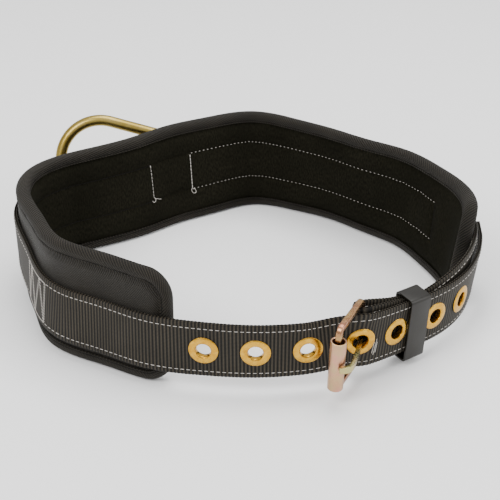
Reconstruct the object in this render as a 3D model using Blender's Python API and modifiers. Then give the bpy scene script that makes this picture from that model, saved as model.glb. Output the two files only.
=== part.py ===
"""Restraint body belt: a padded waist belt with a doubled strap, roller buckle, keeper and D-ring.

Sizes are in millimetres, and each finished mesh is scaled to Blender's metres.
Every sewn piece is modelled flat, as it is cut, and then wrapped round the body:
run goes along the base loop, which is the pad's outer face, anticlockwise seen from above,
out is the distance outside that loop, and height is measured from the pad's lower edge.
"""

import math

import bmesh
import bpy
import numpy as np
from mathutils import Matrix, Vector

MM = 0.001
GAP = 0.3

# The pad and its edge tape
PAD_HIGH = 90.6
PAD_THICK = 11.0
PAD_START = -41.2
PAD_END = 714.0
PAD_CORNER = 22.0
PAD_SPACING = 20.0
TAPE_WALL = 1.1
TAPE_LEG = 8.0
TAPE_CHAMFER = 2.0
FILLING_CHAMFER = 1.2
CHANNEL_LOW = 29.5
CHANNEL_HIGH = 63.0
CHANNEL_START = 36.0
CHANNEL_END = 638.0
CHANNEL_DEEP = 1.3
CHANNEL_HALF = 2.5

# The strap: two plies of 1 3/4 inch webbing sewn together
STRAP_WIDE = 44.45
STRAP_THICK = 3.4
STRAP_EDGE = 0.8
STRAP_SPACING = 12.0
STRAP_TURN = math.radians(12)
CLOSE_SPACING = 4.0
CROSSING_REACH = 18.0
STRAP_TIP_CORNER = 9.0
STRAP_ON_PAD = 2.2
TAIL_OUT = 7.0
DOUBLED_OUT = -2.6
DOUBLED_END = 903.0
EASING = 5.0

# The grommets, in run along the strap's middle
GROMMET_HOLE = 5.5
GROMMET_BARREL = 6.2
GROMMET_FLANGE = 10.75
GROMMET_WASHER = 10.3
GROMMET_RISE = 1.0
GROMMET_BACK = 0.6
GROMMET_SEAT = 0.25
GROMMET_STEPS = 14
STRAP_GROMMETS = (738.0, 774.5, 811.0)
TAIL_GROMMETS = (848.0, 878.8, 916.5, 947.0)

# The roller buckle
BAR_RUN = 853.2
BAR_OUT = -2.7
BAR_HEIGHT = 39.9
FOLD_RADIUS = 5.0
FRAME_TILT = math.radians(34.6)
FRAME_REACH = 41.0
FRAME_HALF = 26.1
FRAME_BAR = 4.4
FRAME_CORNER = 6.5
FRAME_ROUND = 0.9
ROLLER_RADIUS = 5.7
ROLLER_WALL = 1.2
ROLLER_LOW = -23.6
ROLLER_HIGH = 16.6
TONGUE_WIDE = 4.8
TONGUE_THICK = 3.0
TONGUE_SIDE = -2.4
EYE_HOLE = 3.0
EYE_WALL = 2.2
SLOT_WIDE = 9.0
SLOT_EXTRA = 6.5

# The keeper, a bent strip round all three layers
KEEPER_RUN = 897.8
KEEPER_HEIGHT = 32.4
KEEPER_WIDE = 18.3
KEEPER_WALL = 1.5
KEEPER_HIGH = 54.8
KEEPER_INNER = -6.6
KEEPER_OUTER = 11.7
KEEPER_CORNER = 3.2

# The D-ring, whose bar lies in a pocket under the strap
RING_RUN = 347.0
RING_HEIGHT = 47.7
RING_OUT = 5.4
RING_WIRE = 4.9
RING_HALF = 35.0
RING_LEG = 46.0
RING_BEND = 5.6
RING_SLANT = math.radians(26)
RING_SWING = math.radians(53)
RIDGE_HALF = 17.5
RIDGE_FLAT = 2.0
RIDGE_CLEARANCE = 1.5
RIDGE_REACH = 34.0
RIDGE_ROW = 9.0

# The base loop: how far the pad's outer face stands from the middle on each bearing,
# counted anticlockwise from the wearer's side at +X, and how far its top leans outward
LOOP = (
    # bearing deg, reach mm, lean deg
    (0, 169.5, 6.5),
    (15, 160.0, 4.0),
    (30, 154.0, 0.5),
    (45, 145.5, -3.0),
    (60, 147.5, -4.0),
    (75, 154.0, -1.5),
    (90, 163.5, 2.5),
    (105, 153.0, 5.5),
    (120, 147.5, 6.5),
    (135, 145.5, 5.5),
    (150, 160.0, 4.0),
    (165, 185.0, 2.5),
    (180, 186.5, 1.0),
    (195, 176.5, -1.5),
    (210, 173.5, -3.5),
    (225, 158.5, -3.5),
    (240, 153.0, -2.0),
    (255, 148.0, 0.5),
    (270, 147.5, 2.5),
    (285, 149.0, 3.5),
    (300, 151.5, 3.5),
    (315, 154.0, 4.5),
    (330, 164.5, 6.0),
    (345, 170.5, 7.0),
)
LOOP_SAMPLES = 7200

# The strap's middle from the buckle's bar all round to the tip of the tail.
# The run counts on past a full turn.
STRAP_WAY = (
    # run mm, out mm, height mm
    (853.2, BAR_OUT + FOLD_RADIUS, BAR_HEIGHT),
    (866, STRAP_ON_PAD, 38.5),
    (888, STRAP_ON_PAD, 34.8),
    (908, STRAP_ON_PAD, 34.8),
    (935, STRAP_ON_PAD, 41.0),
    (960, STRAP_ON_PAD, 45.0),
    (1000, STRAP_ON_PAD, 47.0),
    (1540, STRAP_ON_PAD, 47.0),
    (1625, STRAP_ON_PAD, 38.0),
    (1645, STRAP_ON_PAD, 36.0),
    (1740, STRAP_ON_PAD, 35.8),
    (1835, STRAP_ON_PAD, 36.0),
    (1852, 3.2, 38.2),
    (1862, 4.7, 38.6),
    (1869, 6.2, 38.4),
    (1874, TAIL_OUT + 0.3, 37.3),
    (1880, TAIL_OUT + 0.3, 36.6),
    (1888, TAIL_OUT, 35.9),
    (1911, TAIL_OUT, 34.8),
    (1960, TAIL_OUT, 35.0),
    (2001, TAIL_OUT + 0.2, 35.2),
    (2020, TAIL_OUT + 1.0, 35.4),
    (2042, TAIL_OUT + 3.6, 35.5),
    (2057, TAIL_OUT + 8.0, 35.5),
)
DOUBLED_WAY = (
    # run mm, out mm
    (853.2, BAR_OUT - FOLD_RADIUS),
    (858.2, BAR_OUT - FOLD_RADIUS),
    (878, DOUBLED_OUT),
    (903, DOUBLED_OUT),
)

# The tongue's middle line, seen along the buckle's bar
TONGUE_WAY = (
    # mm from the bar towards the roller along the belt, mm outward from the bar
    (1.0, 4.3),
    (5.6, 9.8),
    (10.5, 15.6),
    (18.0, 23.2),
    (25.5, 30.3),
    (29.5, 32.3),
    (32.5, 32.2),
    (35.4, 31.2),
)

MATERIALS = {
    # name: red, green, blue, metallic, roughness
    "pad_cloth": (0.022, 0.019, 0.017, 0.0, 0.75),
    "edge_tape": (0.030, 0.026, 0.023, 0.0, 0.7),
    "strap_webbing": (0.036, 0.031, 0.028, 0.0, 0.65),
    "brass": (0.72, 0.47, 0.13, 1.0, 0.32),
    "buckle_steel": (0.62, 0.50, 0.38, 1.0, 0.25),
    "tongue_steel": (0.60, 0.50, 0.40, 1.0, 0.25),
    "roller_steel": (0.68, 0.55, 0.42, 1.0, 0.22),
    "keeper_metal": (0.07, 0.065, 0.058, 0.6, 0.45),
    "ring_metal": (0.52, 0.40, 0.16, 1.0, 0.24),
}


def clear_scene():
    for thing in list(bpy.data.objects):
        bpy.data.objects.remove(thing, do_unlink=True)


def make_material(name):
    red, green, blue, metallic, roughness = MATERIALS[name]
    material = bpy.data.materials.new(name)
    material.use_nodes = True
    shader = material.node_tree.nodes["Principled BSDF"]
    shader.inputs["Base Color"].default_value = (red, green, blue, 1)
    shader.inputs["Metallic"].default_value = metallic
    shader.inputs["Roughness"].default_value = roughness
    return material


# The base loop and the belt's own coordinates


def closed_spline(values, position):
    """Cubic spline through the evenly spaced values of a loop, at positions counted in stations."""
    count = len(values)
    step_back = np.roll(values, 1)
    step_on = np.roll(values, -1)
    system = 4 * np.eye(count) + np.roll(np.eye(count), 1, axis=1) + np.roll(np.eye(count), -1, axis=1)
    bends = np.linalg.solve(system, 6 * (step_on - 2 * values + step_back))
    whole = np.floor(position).astype(int)
    part = position - whole
    left = whole % count
    right = (whole + 1) % count
    straight = values[left] * (1 - part) + values[right] * part
    curved = ((1 - part) ** 3 - (1 - part)) * bends[left] + (part**3 - part) * bends[right]
    return straight + curved / 6


def trace_loop():
    """Run, place and lean (as a slope) of the base loop, finely sampled over one turn."""
    table = np.array(LOOP, float)
    position = np.linspace(0, len(LOOP), LOOP_SAMPLES + 1)
    bearing = 2 * np.pi * position / len(LOOP)
    reach = closed_spline(table[:, 1], position)
    lean = np.radians(closed_spline(table[:, 2], position))
    places = np.column_stack((reach * np.cos(bearing), reach * np.sin(bearing)))
    steps = np.linalg.norm(np.diff(places, axis=0), axis=1)
    return np.append(0, np.cumsum(steps)), places, lean


LOOP_RUN, LOOP_PLACES, LOOP_LEAN = trace_loop()
LOOP_LENGTH = LOOP_RUN[-1]


def loop_place(run):
    turned = np.mod(run, LOOP_LENGTH)
    across = np.interp(turned, LOOP_RUN, LOOP_PLACES[:, 0])
    back = np.interp(turned, LOOP_RUN, LOOP_PLACES[:, 1])
    return np.column_stack((across, back))


def loop_directions(run):
    """Unit vectors along the loop and outward from it, in plan, and the wall's lean."""
    along = loop_place(run + 0.5) - loop_place(run - 0.5)
    along /= np.linalg.norm(along, axis=1)[:, None]
    outward = np.column_stack((along[:, 1], -along[:, 0]))
    return along, outward, np.interp(np.mod(run, LOOP_LENGTH), LOOP_RUN, LOOP_LEAN)


def wrap(belt):
    """Places for rows of run, out and height."""
    run, out, height = np.asarray(belt, float).T
    along, outward, lean = loop_directions(run)
    reach = out + lean * (height - PAD_HIGH / 2)
    return np.column_stack((loop_place(run) + outward * reach[:, None], height))


def rigid_frame(run, out, height):
    """The matrix of a stiff piece on the belt: x back along the run, y outward, z up the wall."""
    origin = Vector(wrap([(run, out, height)])[0]) * MM
    along, outward, lean = (row[0] for row in loop_directions(np.array([float(run)])))
    back = Vector((-along[0], -along[1], 0))
    up = Vector((*(outward * math.sin(lean)), math.cos(lean)))
    axes = Matrix((back, up.cross(back), up)).transposed()
    return Matrix.Translation(origin) @ axes.to_4x4()


# Flat modelling


def rounded_box(left, right, low, high, radius, steps=5):
    """A rectangle's outline with round corners, as points of length and height."""
    corners = (
        (right - radius, low + radius, -90),
        (right - radius, high - radius, 0),
        (left + radius, high - radius, 90),
        (left + radius, low + radius, 180),
    )
    outline = []
    for across, up, start in corners:
        for step in range(steps + 1):
            angle = math.radians(start + 90 * step / steps)
            outline.append((across + radius * math.cos(angle), up + radius * math.sin(angle)))
    return outline


def face_out(body):
    """Turns a closed mesh's faces outward."""
    if body.calc_volume(signed=True) < 0:
        bmesh.ops.reverse_faces(body, faces=body.faces)


def slab(outline, inner, outer, chamfer=0):
    """A flat sheet of an outline, from inner to outer in thickness, with its rims chamfered."""
    body = bmesh.new()
    face = body.faces.new([body.verts.new((length, inner, height)) for length, height in outline])
    grown = bmesh.ops.extrude_face_region(body, geom=[face])
    lifted = [part for part in grown["geom"] if isinstance(part, bmesh.types.BMVert)]
    bmesh.ops.translate(body, verts=lifted, vec=(0, outer - inner, 0))
    bmesh.ops.recalc_face_normals(body, faces=body.faces)
    face_out(body)
    if chamfer:
        rims = [edge for edge in body.edges if abs(edge.verts[0].co.y - edge.verts[1].co.y) < 1e-6]
        bmesh.ops.bevel(body, geom=rims, offset=chamfer, segments=1, affect="EDGES", profile=0.5)
    return body


def post(length, height, radius, inner, outer, steps=GROMMET_STEPS):
    """A round cutter through a flat sheet."""
    turn = [2 * math.pi * step / steps for step in range(steps)]
    outline = [(length + radius * math.cos(a), height + radius * math.sin(a)) for a in turn]
    return slab(outline, inner, outer)


def flat_object(body, name, collection):
    mesh = bpy.data.meshes.new(name)
    body.to_mesh(mesh)
    body.free()
    thing = bpy.data.objects.new(name, mesh)
    collection.objects.link(thing)
    return thing


def combine(base, tool, operation):
    """Boolean of two flat sheets. The tool stays hidden among the cutters."""
    first = flat_object(base, "flat_work", CUTTERS)
    second = flat_object(tool, "flat_tool", CUTTERS)
    for helper in (first, second):
        helper.hide_render = True
        helper.display_type = "WIRE"
    modifier = first.modifiers.new("combine", "BOOLEAN")
    modifier.operation = operation
    modifier.object = second
    modifier.solver = "EXACT"
    bpy.context.view_layer.update()
    graph = bpy.context.evaluated_depsgraph_get()
    result = bmesh.new()
    result.from_mesh(first.evaluated_get(graph).data)
    bpy.data.objects.remove(first, do_unlink=True)
    bpy.data.objects.remove(second, do_unlink=True)
    return result


def cross_loops(body, places, normal, start=-math.inf, end=math.inf):
    """Cuts edge loops across a flat sheet, between two lengths, so that it can bend there."""
    for place in places:
        faces = [face for face in body.faces if start < face.calc_center_median().x < end]
        edges = {edge for face in faces for edge in face.edges}
        points = {point for face in faces for point in face.verts}
        centre = Vector(normal) * place
        geometry = [*points, *edges, *faces]
        bmesh.ops.bisect_plane(body, geom=geometry, plane_co=centre, plane_no=normal, dist=1e-4)


def bend(body, shape):
    """Moves a flat sheet's points (length, thickness, height) to their places round the belt."""
    bmesh.ops.triangulate(body, faces=body.faces)
    flat = np.array([point.co for point in body.verts])
    for point, place in zip(body.verts, shape(flat)):
        point.co = place
    face_out(body)


def spaced(start, end, spacing):
    count = round((end - start) / spacing)
    return [start + (end - start) * step / count for step in range(1, count)]


def finish_piece(name, body, material, parent, matrix=None):
    """The named object of a piece. Its mesh is in millimetres, in the frame of matrix."""
    bmesh.ops.scale(body, verts=body.verts, vec=(MM, MM, MM))
    thing = flat_object(body, name, BELT)
    thing.data.materials.append(MATERIAL[material])
    thing.data.shade_smooth()
    thing.data.set_sharp_from_angle(angle=math.radians(38))
    thing.parent = parent
    if matrix is not None:
        thing.matrix_local = matrix
    return thing


# The pad and its tape


def pad_outline(inset):
    radius = PAD_CORNER - inset
    return rounded_box(PAD_START + inset, PAD_END - inset, inset, PAD_HIGH - inset, radius)


def pad_shape(flat):
    """The pad's flat points round the body, with the stitched channel pressed into the inner face."""
    run, out, height = flat.T.copy()
    inner = out < -PAD_THICK + 0.1
    row = np.minimum(np.abs(height - CHANNEL_LOW), np.abs(height - CHANNEL_HIGH))
    along_rows = (run > CHANNEL_START - 0.1) & (run < CHANNEL_END + 0.1) & (row < 0.1)
    between = (height > CHANNEL_LOW - 0.1) & (height < CHANNEL_HIGH + 0.1)
    ends = between & ((np.abs(run - CHANNEL_START) < 0.1) | (np.abs(run - CHANNEL_END) < 0.1))
    out[inner & (along_rows | ends)] += CHANNEL_DEEP
    return wrap(np.column_stack((run, out, height)))


def make_pad(parent):
    under_tape = TAPE_WALL + GAP
    core = slab(pad_outline(TAPE_LEG + GAP), -PAD_THICK, 0)
    border = slab(pad_outline(under_tape), under_tape - PAD_THICK, -under_tape, FILLING_CHAMFER)
    body = combine(border, core, "UNION")
    rows = []
    for middle in (CHANNEL_LOW, CHANNEL_HIGH):
        rows += [middle - CHANNEL_HALF, middle, middle + CHANNEL_HALF]
    cross_loops(body, rows, (0, 0, 1))
    stops = spaced(PAD_START, PAD_END, PAD_SPACING)
    for end in (CHANNEL_START, CHANNEL_END):
        stops = [stop for stop in stops if abs(stop - end) > PAD_SPACING / 2]
        stops += [end - CHANNEL_HALF, end, end + CHANNEL_HALF]
    cross_loops(body, stops, (1, 0, 0))
    bend(body, pad_shape)
    finish_piece("back_pad", body, "pad_cloth", parent)


def make_binding(parent):
    tape = slab(pad_outline(0), -PAD_THICK, 0, TAPE_CHAMFER)
    filling = slab(pad_outline(TAPE_WALL), TAPE_WALL - PAD_THICK, -TAPE_WALL, FILLING_CHAMFER)
    window = slab(pad_outline(TAPE_LEG), -PAD_THICK - 1, 1)
    body = combine(tape, combine(filling, window, "UNION"), "DIFFERENCE")
    cross_loops(body, spaced(PAD_START, PAD_END, PAD_SPACING), (1, 0, 0))
    bend(body, wrap)
    finish_piece("edge_binding", body, "edge_tape", parent)


# The strap and its grommets


def eased(table, column, run):
    """A table's column read between its rows, with the corners eased."""
    rows = np.array(table, float)
    spread = np.linspace(-EASING, EASING, 11)
    return np.interp(run[:, None] + spread, rows[:, 0], rows[:, column]).mean(axis=1)


def ridge(run):
    """How far the strap stands out where the ring's bar lies under it."""
    rise = RING_OUT + RING_WIRE + RIDGE_CLEARANCE + STRAP_THICK / 2 - STRAP_ON_PAD
    away = np.abs(run - RING_RUN - LOOP_LENGTH) - RIDGE_FLAT
    return rise * (1 + np.cos(np.pi * np.clip(away / (RIDGE_HALF - RIDGE_FLAT), 0, 1))) / 2


def trace_strap():
    """The strap's middle line as rows of length, run, out and height."""
    back_run = np.arange(DOUBLED_END, BAR_RUN, -0.5)
    back = np.column_stack(
        (back_run, eased(DOUBLED_WAY, 1, back_run), eased(STRAP_WAY, 2, back_run))
    )
    turn = np.radians(np.arange(-90, 90, 5))
    fold = np.column_stack(
        (
            BAR_RUN - FOLD_RADIUS * np.cos(turn),
            BAR_OUT + FOLD_RADIUS * np.sin(turn),
            np.full(len(turn), BAR_HEIGHT),
        )
    )
    main_run = np.arange(BAR_RUN, STRAP_WAY[-1][0] + 0.1, 0.5)
    out = eased(STRAP_WAY, 1, main_run) + ridge(main_run)
    main = np.column_stack((main_run, out, eased(STRAP_WAY, 2, main_run)))
    line = np.vstack((back, fold, main))
    steps = np.linalg.norm(np.diff(line, axis=0), axis=1)
    return np.column_stack((np.append(0, np.cumsum(steps)), line))


STRAP_LINE = trace_strap()
STRAP_LENGTH = STRAP_LINE[-1, 0]
FOLD_ROWS = np.nonzero(STRAP_LINE[:, 1] < BAR_RUN - 0.01)[0]
FOLD_FROM = STRAP_LINE[FOLD_ROWS[0], 0]
MAIN_FROM = FOLD_FROM + math.pi * FOLD_RADIUS


def strap_at(length):
    columns = [np.interp(length, STRAP_LINE[:, 0], STRAP_LINE[:, i]) for i in (1, 2, 3)]
    return np.column_stack(columns)


def strap_length_at(run):
    """The strap's length from its doubled end to a run on its outer layer."""
    main = STRAP_LINE[STRAP_LINE[:, 0] >= MAIN_FROM]
    return float(np.interp(run, main[:, 1], main[:, 0]))


def slanted_at(length, side):
    """The strap's middle as it runs at some height from it, where the ridge follows the slanted bar."""
    line = strap_at(length)
    run = line[:, 0]
    above = line[:, 2] + side - RING_HEIGHT
    line[:, 1] += ridge(run + above * math.tan(RING_SLANT)) - ridge(run)
    return line


def strap_shape(flat):
    """The strap's flat points (length, thickness, height from its middle) round the belt."""
    length, thick, side = flat.T
    ahead = slanted_at(length + 0.5, side) - slanted_at(length - 0.5, side)
    ahead /= np.linalg.norm(ahead, axis=1)[:, None]
    up = np.array([0, 0, 1]) - ahead * ahead[:, 2:]
    up /= np.linalg.norm(up, axis=1)[:, None]
    face = np.cross(up, ahead)
    return wrap(slanted_at(length, side) + up * side[:, None] + face * thick[:, None])


def bend_places():
    """Lengths where the strap has a cross loop: close together where it turns or rises."""
    places = []
    last = 0.0
    heading = None
    close = (
        (strap_length_at(RING_RUN + LOOP_LENGTH), RIDGE_REACH),
        (strap_length_at(TAIL_GROMMETS[0] + LOOP_LENGTH), CROSSING_REACH),
    )
    for length in np.arange(1.0, STRAP_LENGTH - 1, 1.0):
        before, after = strap_at(np.array([length - 0.5, length + 0.5]))
        direction = math.atan2(after[1] - before[1], after[0] - before[0])
        if heading is None:
            heading = direction
        turned = abs((direction - heading + math.pi) % (2 * math.pi) - math.pi)
        near = any(abs(length - middle) < reach for middle, reach in close)
        spacing = CLOSE_SPACING if near else STRAP_SPACING
        if turned > STRAP_TURN or length - last >= spacing:
            places.append(length)
            last = length
            heading = direction
    return places


def make_strap(parent):
    half_wide = STRAP_WIDE / 2
    half_thick = STRAP_THICK / 2
    tip = rounded_box(0, STRAP_LENGTH, -half_wide, half_wide, STRAP_TIP_CORNER)
    outline = [point for point in tip if point[0] > STRAP_LENGTH / 2]
    outline += [(0, half_wide), (0, -half_wide)]
    body = slab(outline, -half_thick, half_thick, STRAP_EDGE)
    slot_from = FOLD_FROM - SLOT_EXTRA
    slot_to = MAIN_FROM + SLOT_EXTRA
    slot_low = TONGUE_SIDE - SLOT_WIDE / 2
    slot = rounded_box(slot_from, slot_to, slot_low, slot_low + SLOT_WIDE, SLOT_WIDE / 2 - 0.5)
    body = combine(body, slab(slot, -half_thick - 1, half_thick + 1), "DIFFERENCE")
    for run in grommet_runs():
        hole = post(
            strap_length_at(run), 0, GROMMET_BARREL + GAP, -half_thick - 1, half_thick + 1
        )
        body = combine(body, hole, "DIFFERENCE")
    cross_loops(body, bend_places(), (1, 0, 0))
    ring = strap_length_at(RING_RUN + LOOP_LENGTH)
    rows = spaced(-half_wide, half_wide, RIDGE_ROW)
    cross_loops(body, rows, (0, 0, 1), ring - RIDGE_REACH, ring + RIDGE_REACH)
    bend(body, strap_shape)
    finish_piece("belt_strap", body, "strap_webbing", parent)


def grommet_runs():
    """Runs of all grommets. Both groups are on the strap after its full turn round the body."""
    on_strap = [run + LOOP_LENGTH for run in STRAP_GROMMETS]
    return on_strap + [run + LOOP_LENGTH for run in TAIL_GROMMETS]


def grommet_profile():
    """Half section: distance from the hole's middle, and thickness from the strap's middle."""
    face = STRAP_THICK / 2 + GROMMET_SEAT
    crown = face + GROMMET_RISE
    back = -face - GROMMET_BACK
    return (
        (GROMMET_HOLE, back),
        (GROMMET_HOLE, crown - 0.6),
        (GROMMET_HOLE + 1.1, crown),
        (GROMMET_FLANGE - 1.5, crown - 0.1),
        (GROMMET_FLANGE, face),
        (GROMMET_BARREL, face),
        (GROMMET_BARREL, -face),
        (GROMMET_WASHER, -face),
        (GROMMET_WASHER, back),
    )


def turned(profile, steps, name):
    """A closed half section turned round the Z axis by a Screw modifier."""
    mesh = bpy.data.meshes.new(name)
    points = [(radius, 0, up) for radius, up in profile]
    edges = [(i, (i + 1) % len(points)) for i in range(len(points))]
    mesh.from_pydata(points, edges, [])
    thing = bpy.data.objects.new(name, mesh)
    CUTTERS.objects.link(thing)
    thing.hide_render = True
    screw = thing.modifiers.new("turn", "SCREW")
    screw.steps = steps
    screw.render_steps = steps
    screw.use_merge_vertices = True
    screw.merge_threshold = 0.0001
    bpy.context.view_layer.update()
    body = bmesh.new()
    body.from_mesh(thing.evaluated_get(bpy.context.evaluated_depsgraph_get()).data)
    bpy.data.objects.remove(thing, do_unlink=True)
    face_out(body)
    return body


def make_grommets(parent):
    for number, run in enumerate(grommet_runs(), 1):
        body = turned(grommet_profile(), GROMMET_STEPS, "grommet_section")
        upright = Matrix.Rotation(math.radians(-90), 3, "X")
        bmesh.ops.rotate(body, verts=body.verts, cent=(0, 0, 0), matrix=upright)
        bmesh.ops.translate(body, verts=body.verts, vec=(strap_length_at(run), 0, 0))
        bend(body, strap_shape)
        finish_piece(f"grommet_{number}", body, "brass", parent)


# The buckle. Its pieces have x towards the roller, y outward and z along the rear bar.


def make_frame(parent):
    half = FRAME_BAR / 2
    outer = rounded_box(-half, FRAME_REACH + half, -FRAME_HALF - half, FRAME_HALF + half, FRAME_CORNER)
    opening = rounded_box(
        half, FRAME_REACH - half, -FRAME_HALF + half, FRAME_HALF - half, FRAME_CORNER - FRAME_BAR, 3
    )
    body = combine(slab(outer, -half, half), slab(opening, -half - 1, half + 1), "DIFFERENCE")
    rims = [edge for edge in body.edges if is_rim(edge, half)]
    bmesh.ops.bevel(body, geom=rims, offset=FRAME_ROUND, segments=2, affect="EDGES", profile=0.5)
    swung = Matrix.Rotation(FRAME_TILT, 4, "Z")
    finish_piece("buckle_frame", body, "buckle_steel", parent, swung)


def is_rim(edge, half):
    """True for the edges between a flat face of the frame and its sides."""
    on_face = all(abs(abs(point.co.y) - half) < 1e-4 for point in edge.verts)
    normals = [abs(face.normal.y) for face in edge.link_faces]
    return on_face and len(normals) == 2 and min(normals) < 0.5 < max(normals)


def make_roller(parent):
    inner = ROLLER_RADIUS - ROLLER_WALL
    rounding = 0.35
    profile = (
        (ROLLER_RADIUS - rounding, ROLLER_LOW),
        (inner, ROLLER_LOW),
        (inner, ROLLER_HIGH),
        (ROLLER_RADIUS - rounding, ROLLER_HIGH),
        (ROLLER_RADIUS, ROLLER_HIGH - rounding),
        (ROLLER_RADIUS, ROLLER_LOW + rounding),
    )
    body = turned(profile, 20, "roller_section")
    reach = Vector((math.cos(FRAME_TILT), math.sin(FRAME_TILT), 0)) * FRAME_REACH * MM
    finish_piece("buckle_roller", body, "roller_steel", parent, Matrix.Translation(reach))


def ribbon(way, thick):
    """The outline of a strip of even thickness along a line, with a rounded far end."""
    line = np.array(way, float)
    heading = np.gradient(line, axis=0)
    heading /= np.linalg.norm(heading, axis=1)[:, None]
    side = np.column_stack((-heading[:, 1], heading[:, 0])) * thick / 2
    tip = heading[-1] * thick / 3
    left = line + side
    right = line - side
    end = [right[-1] + tip, left[-1] + tip]
    right[-1] -= tip / 2
    return [tuple(p) for p in [*right[:-1], right[-1], *end, *left[::-1]]]


def make_tongue(parent):
    low = TONGUE_SIDE - TONGUE_WIDE / 2
    high = TONGUE_SIDE + TONGUE_WIDE / 2
    ring = post(0, 0, EYE_HOLE + EYE_WALL, low, high, 20)
    shank = slab(ribbon(TONGUE_WAY, TONGUE_THICK), low, high)
    body = combine(ring, shank, "UNION")
    body = combine(body, post(0, 0, EYE_HOLE, low - 1, high + 1, 20), "DIFFERENCE")
    rims = [edge for edge in body.edges if edge.calc_face_angle(0) > 1.2]
    bmesh.ops.bevel(body, geom=rims, offset=0.5, segments=1, affect="EDGES", profile=0.5)
    stand = Matrix(((1, 0, 0), (0, 0, 1), (0, 1, 0)))
    bmesh.ops.transform(body, verts=body.verts, matrix=stand.to_4x4())
    face_out(body)
    finish_piece("buckle_tongue", body, "tongue_steel", parent)


def make_keeper(parent):
    """A flat strip bent into a rectangle round the layers, modelled in section and extruded along the run."""
    outer = rounded_box(KEEPER_INNER, KEEPER_OUTER, -KEEPER_HIGH / 2, KEEPER_HIGH / 2, KEEPER_CORNER)
    wall = KEEPER_WALL
    inner = rounded_box(
        KEEPER_INNER + wall,
        KEEPER_OUTER - wall,
        -KEEPER_HIGH / 2 + wall,
        KEEPER_HIGH / 2 - wall,
        KEEPER_CORNER - wall,
    )
    half = KEEPER_WIDE / 2
    body = combine(slab(outer, -half, half), slab(inner, -half - 1, half + 1), "DIFFERENCE")
    stand = Matrix(((0, 1, 0), (1, 0, 0), (0, 0, 1)))
    bmesh.ops.transform(body, verts=body.verts, matrix=stand.to_4x4())
    face_out(body)
    place = rigid_frame(KEEPER_RUN, 0, KEEPER_HEIGHT)
    finish_piece("strap_keeper", body, "keeper_metal", parent, place)


# The D-ring


def ring_outline():
    """The ring's middle line: the bar on z, and the bow reaching out along x."""
    points = []
    for up, start in ((-1, 180), (1, 90)):
        corner = []
        for step in range(4):
            angle = math.radians(start + 30 * step)
            across = RING_BEND + RING_BEND * math.cos(angle)
            corner.append((across, up * (RING_HALF - RING_BEND) + RING_BEND * math.sin(angle)))
        points.append(corner)
    bow = []
    for step in range(13):
        angle = math.radians(-90 + 15 * step)
        bow.append((RING_LEG + RING_HALF * math.cos(angle), RING_HALF * math.sin(angle)))
    lower, upper = points
    return lower + bow + upper


def make_ring(parent):
    """A closed wire. Its origin is on the bar, which is the ring's hinge."""
    wire = bpy.data.curves.new("ring_wire", "CURVE")
    wire.dimensions = "3D"
    wire.bevel_depth = RING_WIRE
    wire.bevel_resolution = 3
    spline = wire.splines.new("POLY")
    outline = ring_outline()
    spline.points.add(len(outline) - 1)
    for point, (across, up) in zip(spline.points, outline):
        point.co = (across, 0, up, 1)
    spline.use_cyclic_u = True
    curve = bpy.data.objects.new("ring_wire", wire)
    CUTTERS.objects.link(curve)
    bpy.context.view_layer.update()
    graph = bpy.context.evaluated_depsgraph_get()
    body = bmesh.new()
    body.from_mesh(bpy.data.meshes.new_from_object(curve.evaluated_get(graph)))
    bpy.data.objects.remove(curve, do_unlink=True)
    bmesh.ops.remove_doubles(body, verts=body.verts, dist=1e-4)
    face_out(body)
    hinge = bpy.data.objects.new("ring_hinge", None)
    BELT.objects.link(hinge)
    hinge.parent = parent
    hinge.matrix_local = ring_matrix()
    finish_piece("d_ring", body, "ring_metal", hinge)


def ring_matrix():
    """Bar's middle, with z along the slanted bar and x out along the ring as it stands."""
    slant = Matrix.Rotation(RING_SLANT, 4, "Y")
    swing = Matrix.Rotation(math.radians(90) + RING_SWING, 4, "Z")
    return rigid_frame(RING_RUN, RING_OUT, RING_HEIGHT) @ slant @ swing


def centre_on_origin(parent):
    """Moves the whole belt so that its box stands centred on the origin."""
    bpy.context.view_layer.update()
    corners = [
        thing.matrix_world @ point.co
        for thing in BELT.objects
        if thing.type == "MESH"
        for point in thing.data.vertices
    ]
    low = Vector(map(min, zip(*corners)))
    high = Vector(map(max, zip(*corners)))
    parent.location = (-(low.x + high.x) / 2, -(low.y + high.y) / 2, -low.z)
    bpy.context.view_layer.update()


def make_belt():
    whole = bpy.data.objects.new("whole_belt", None)
    BELT.objects.link(whole)
    make_pad(whole)
    make_binding(whole)
    make_strap(whole)
    make_grommets(whole)
    buckle = bpy.data.objects.new("buckle_bar", None)
    BELT.objects.link(buckle)
    buckle.parent = whole
    buckle.matrix_local = rigid_frame(BAR_RUN, BAR_OUT, BAR_HEIGHT)
    make_frame(buckle)
    make_roller(buckle)
    make_tongue(buckle)
    make_keeper(whole)
    make_ring(whole)
    centre_on_origin(whole)


clear_scene()
BELT = bpy.data.collections.new("restraint_body_belt")
CUTTERS = bpy.data.collections.new("cutters")
bpy.context.scene.collection.children.link(BELT)
bpy.context.scene.collection.children.link(CUTTERS)
MATERIAL = {name: make_material(name) for name in MATERIALS}
make_belt()
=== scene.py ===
# %% [markdown]
# A padded body belt, dressed for its portrait.
#
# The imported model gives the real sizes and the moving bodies. This script adds what the eye
# looks for: woven cloth, folded tape, sewn rows, brass grommets and plated steel. Cloth parts
# are modelled flat, as they are cut, and then wrapped round the body, as they are worn.

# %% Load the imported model
import math

import bpy
import numpy as np
from mathutils import Matrix, Vector


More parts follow.
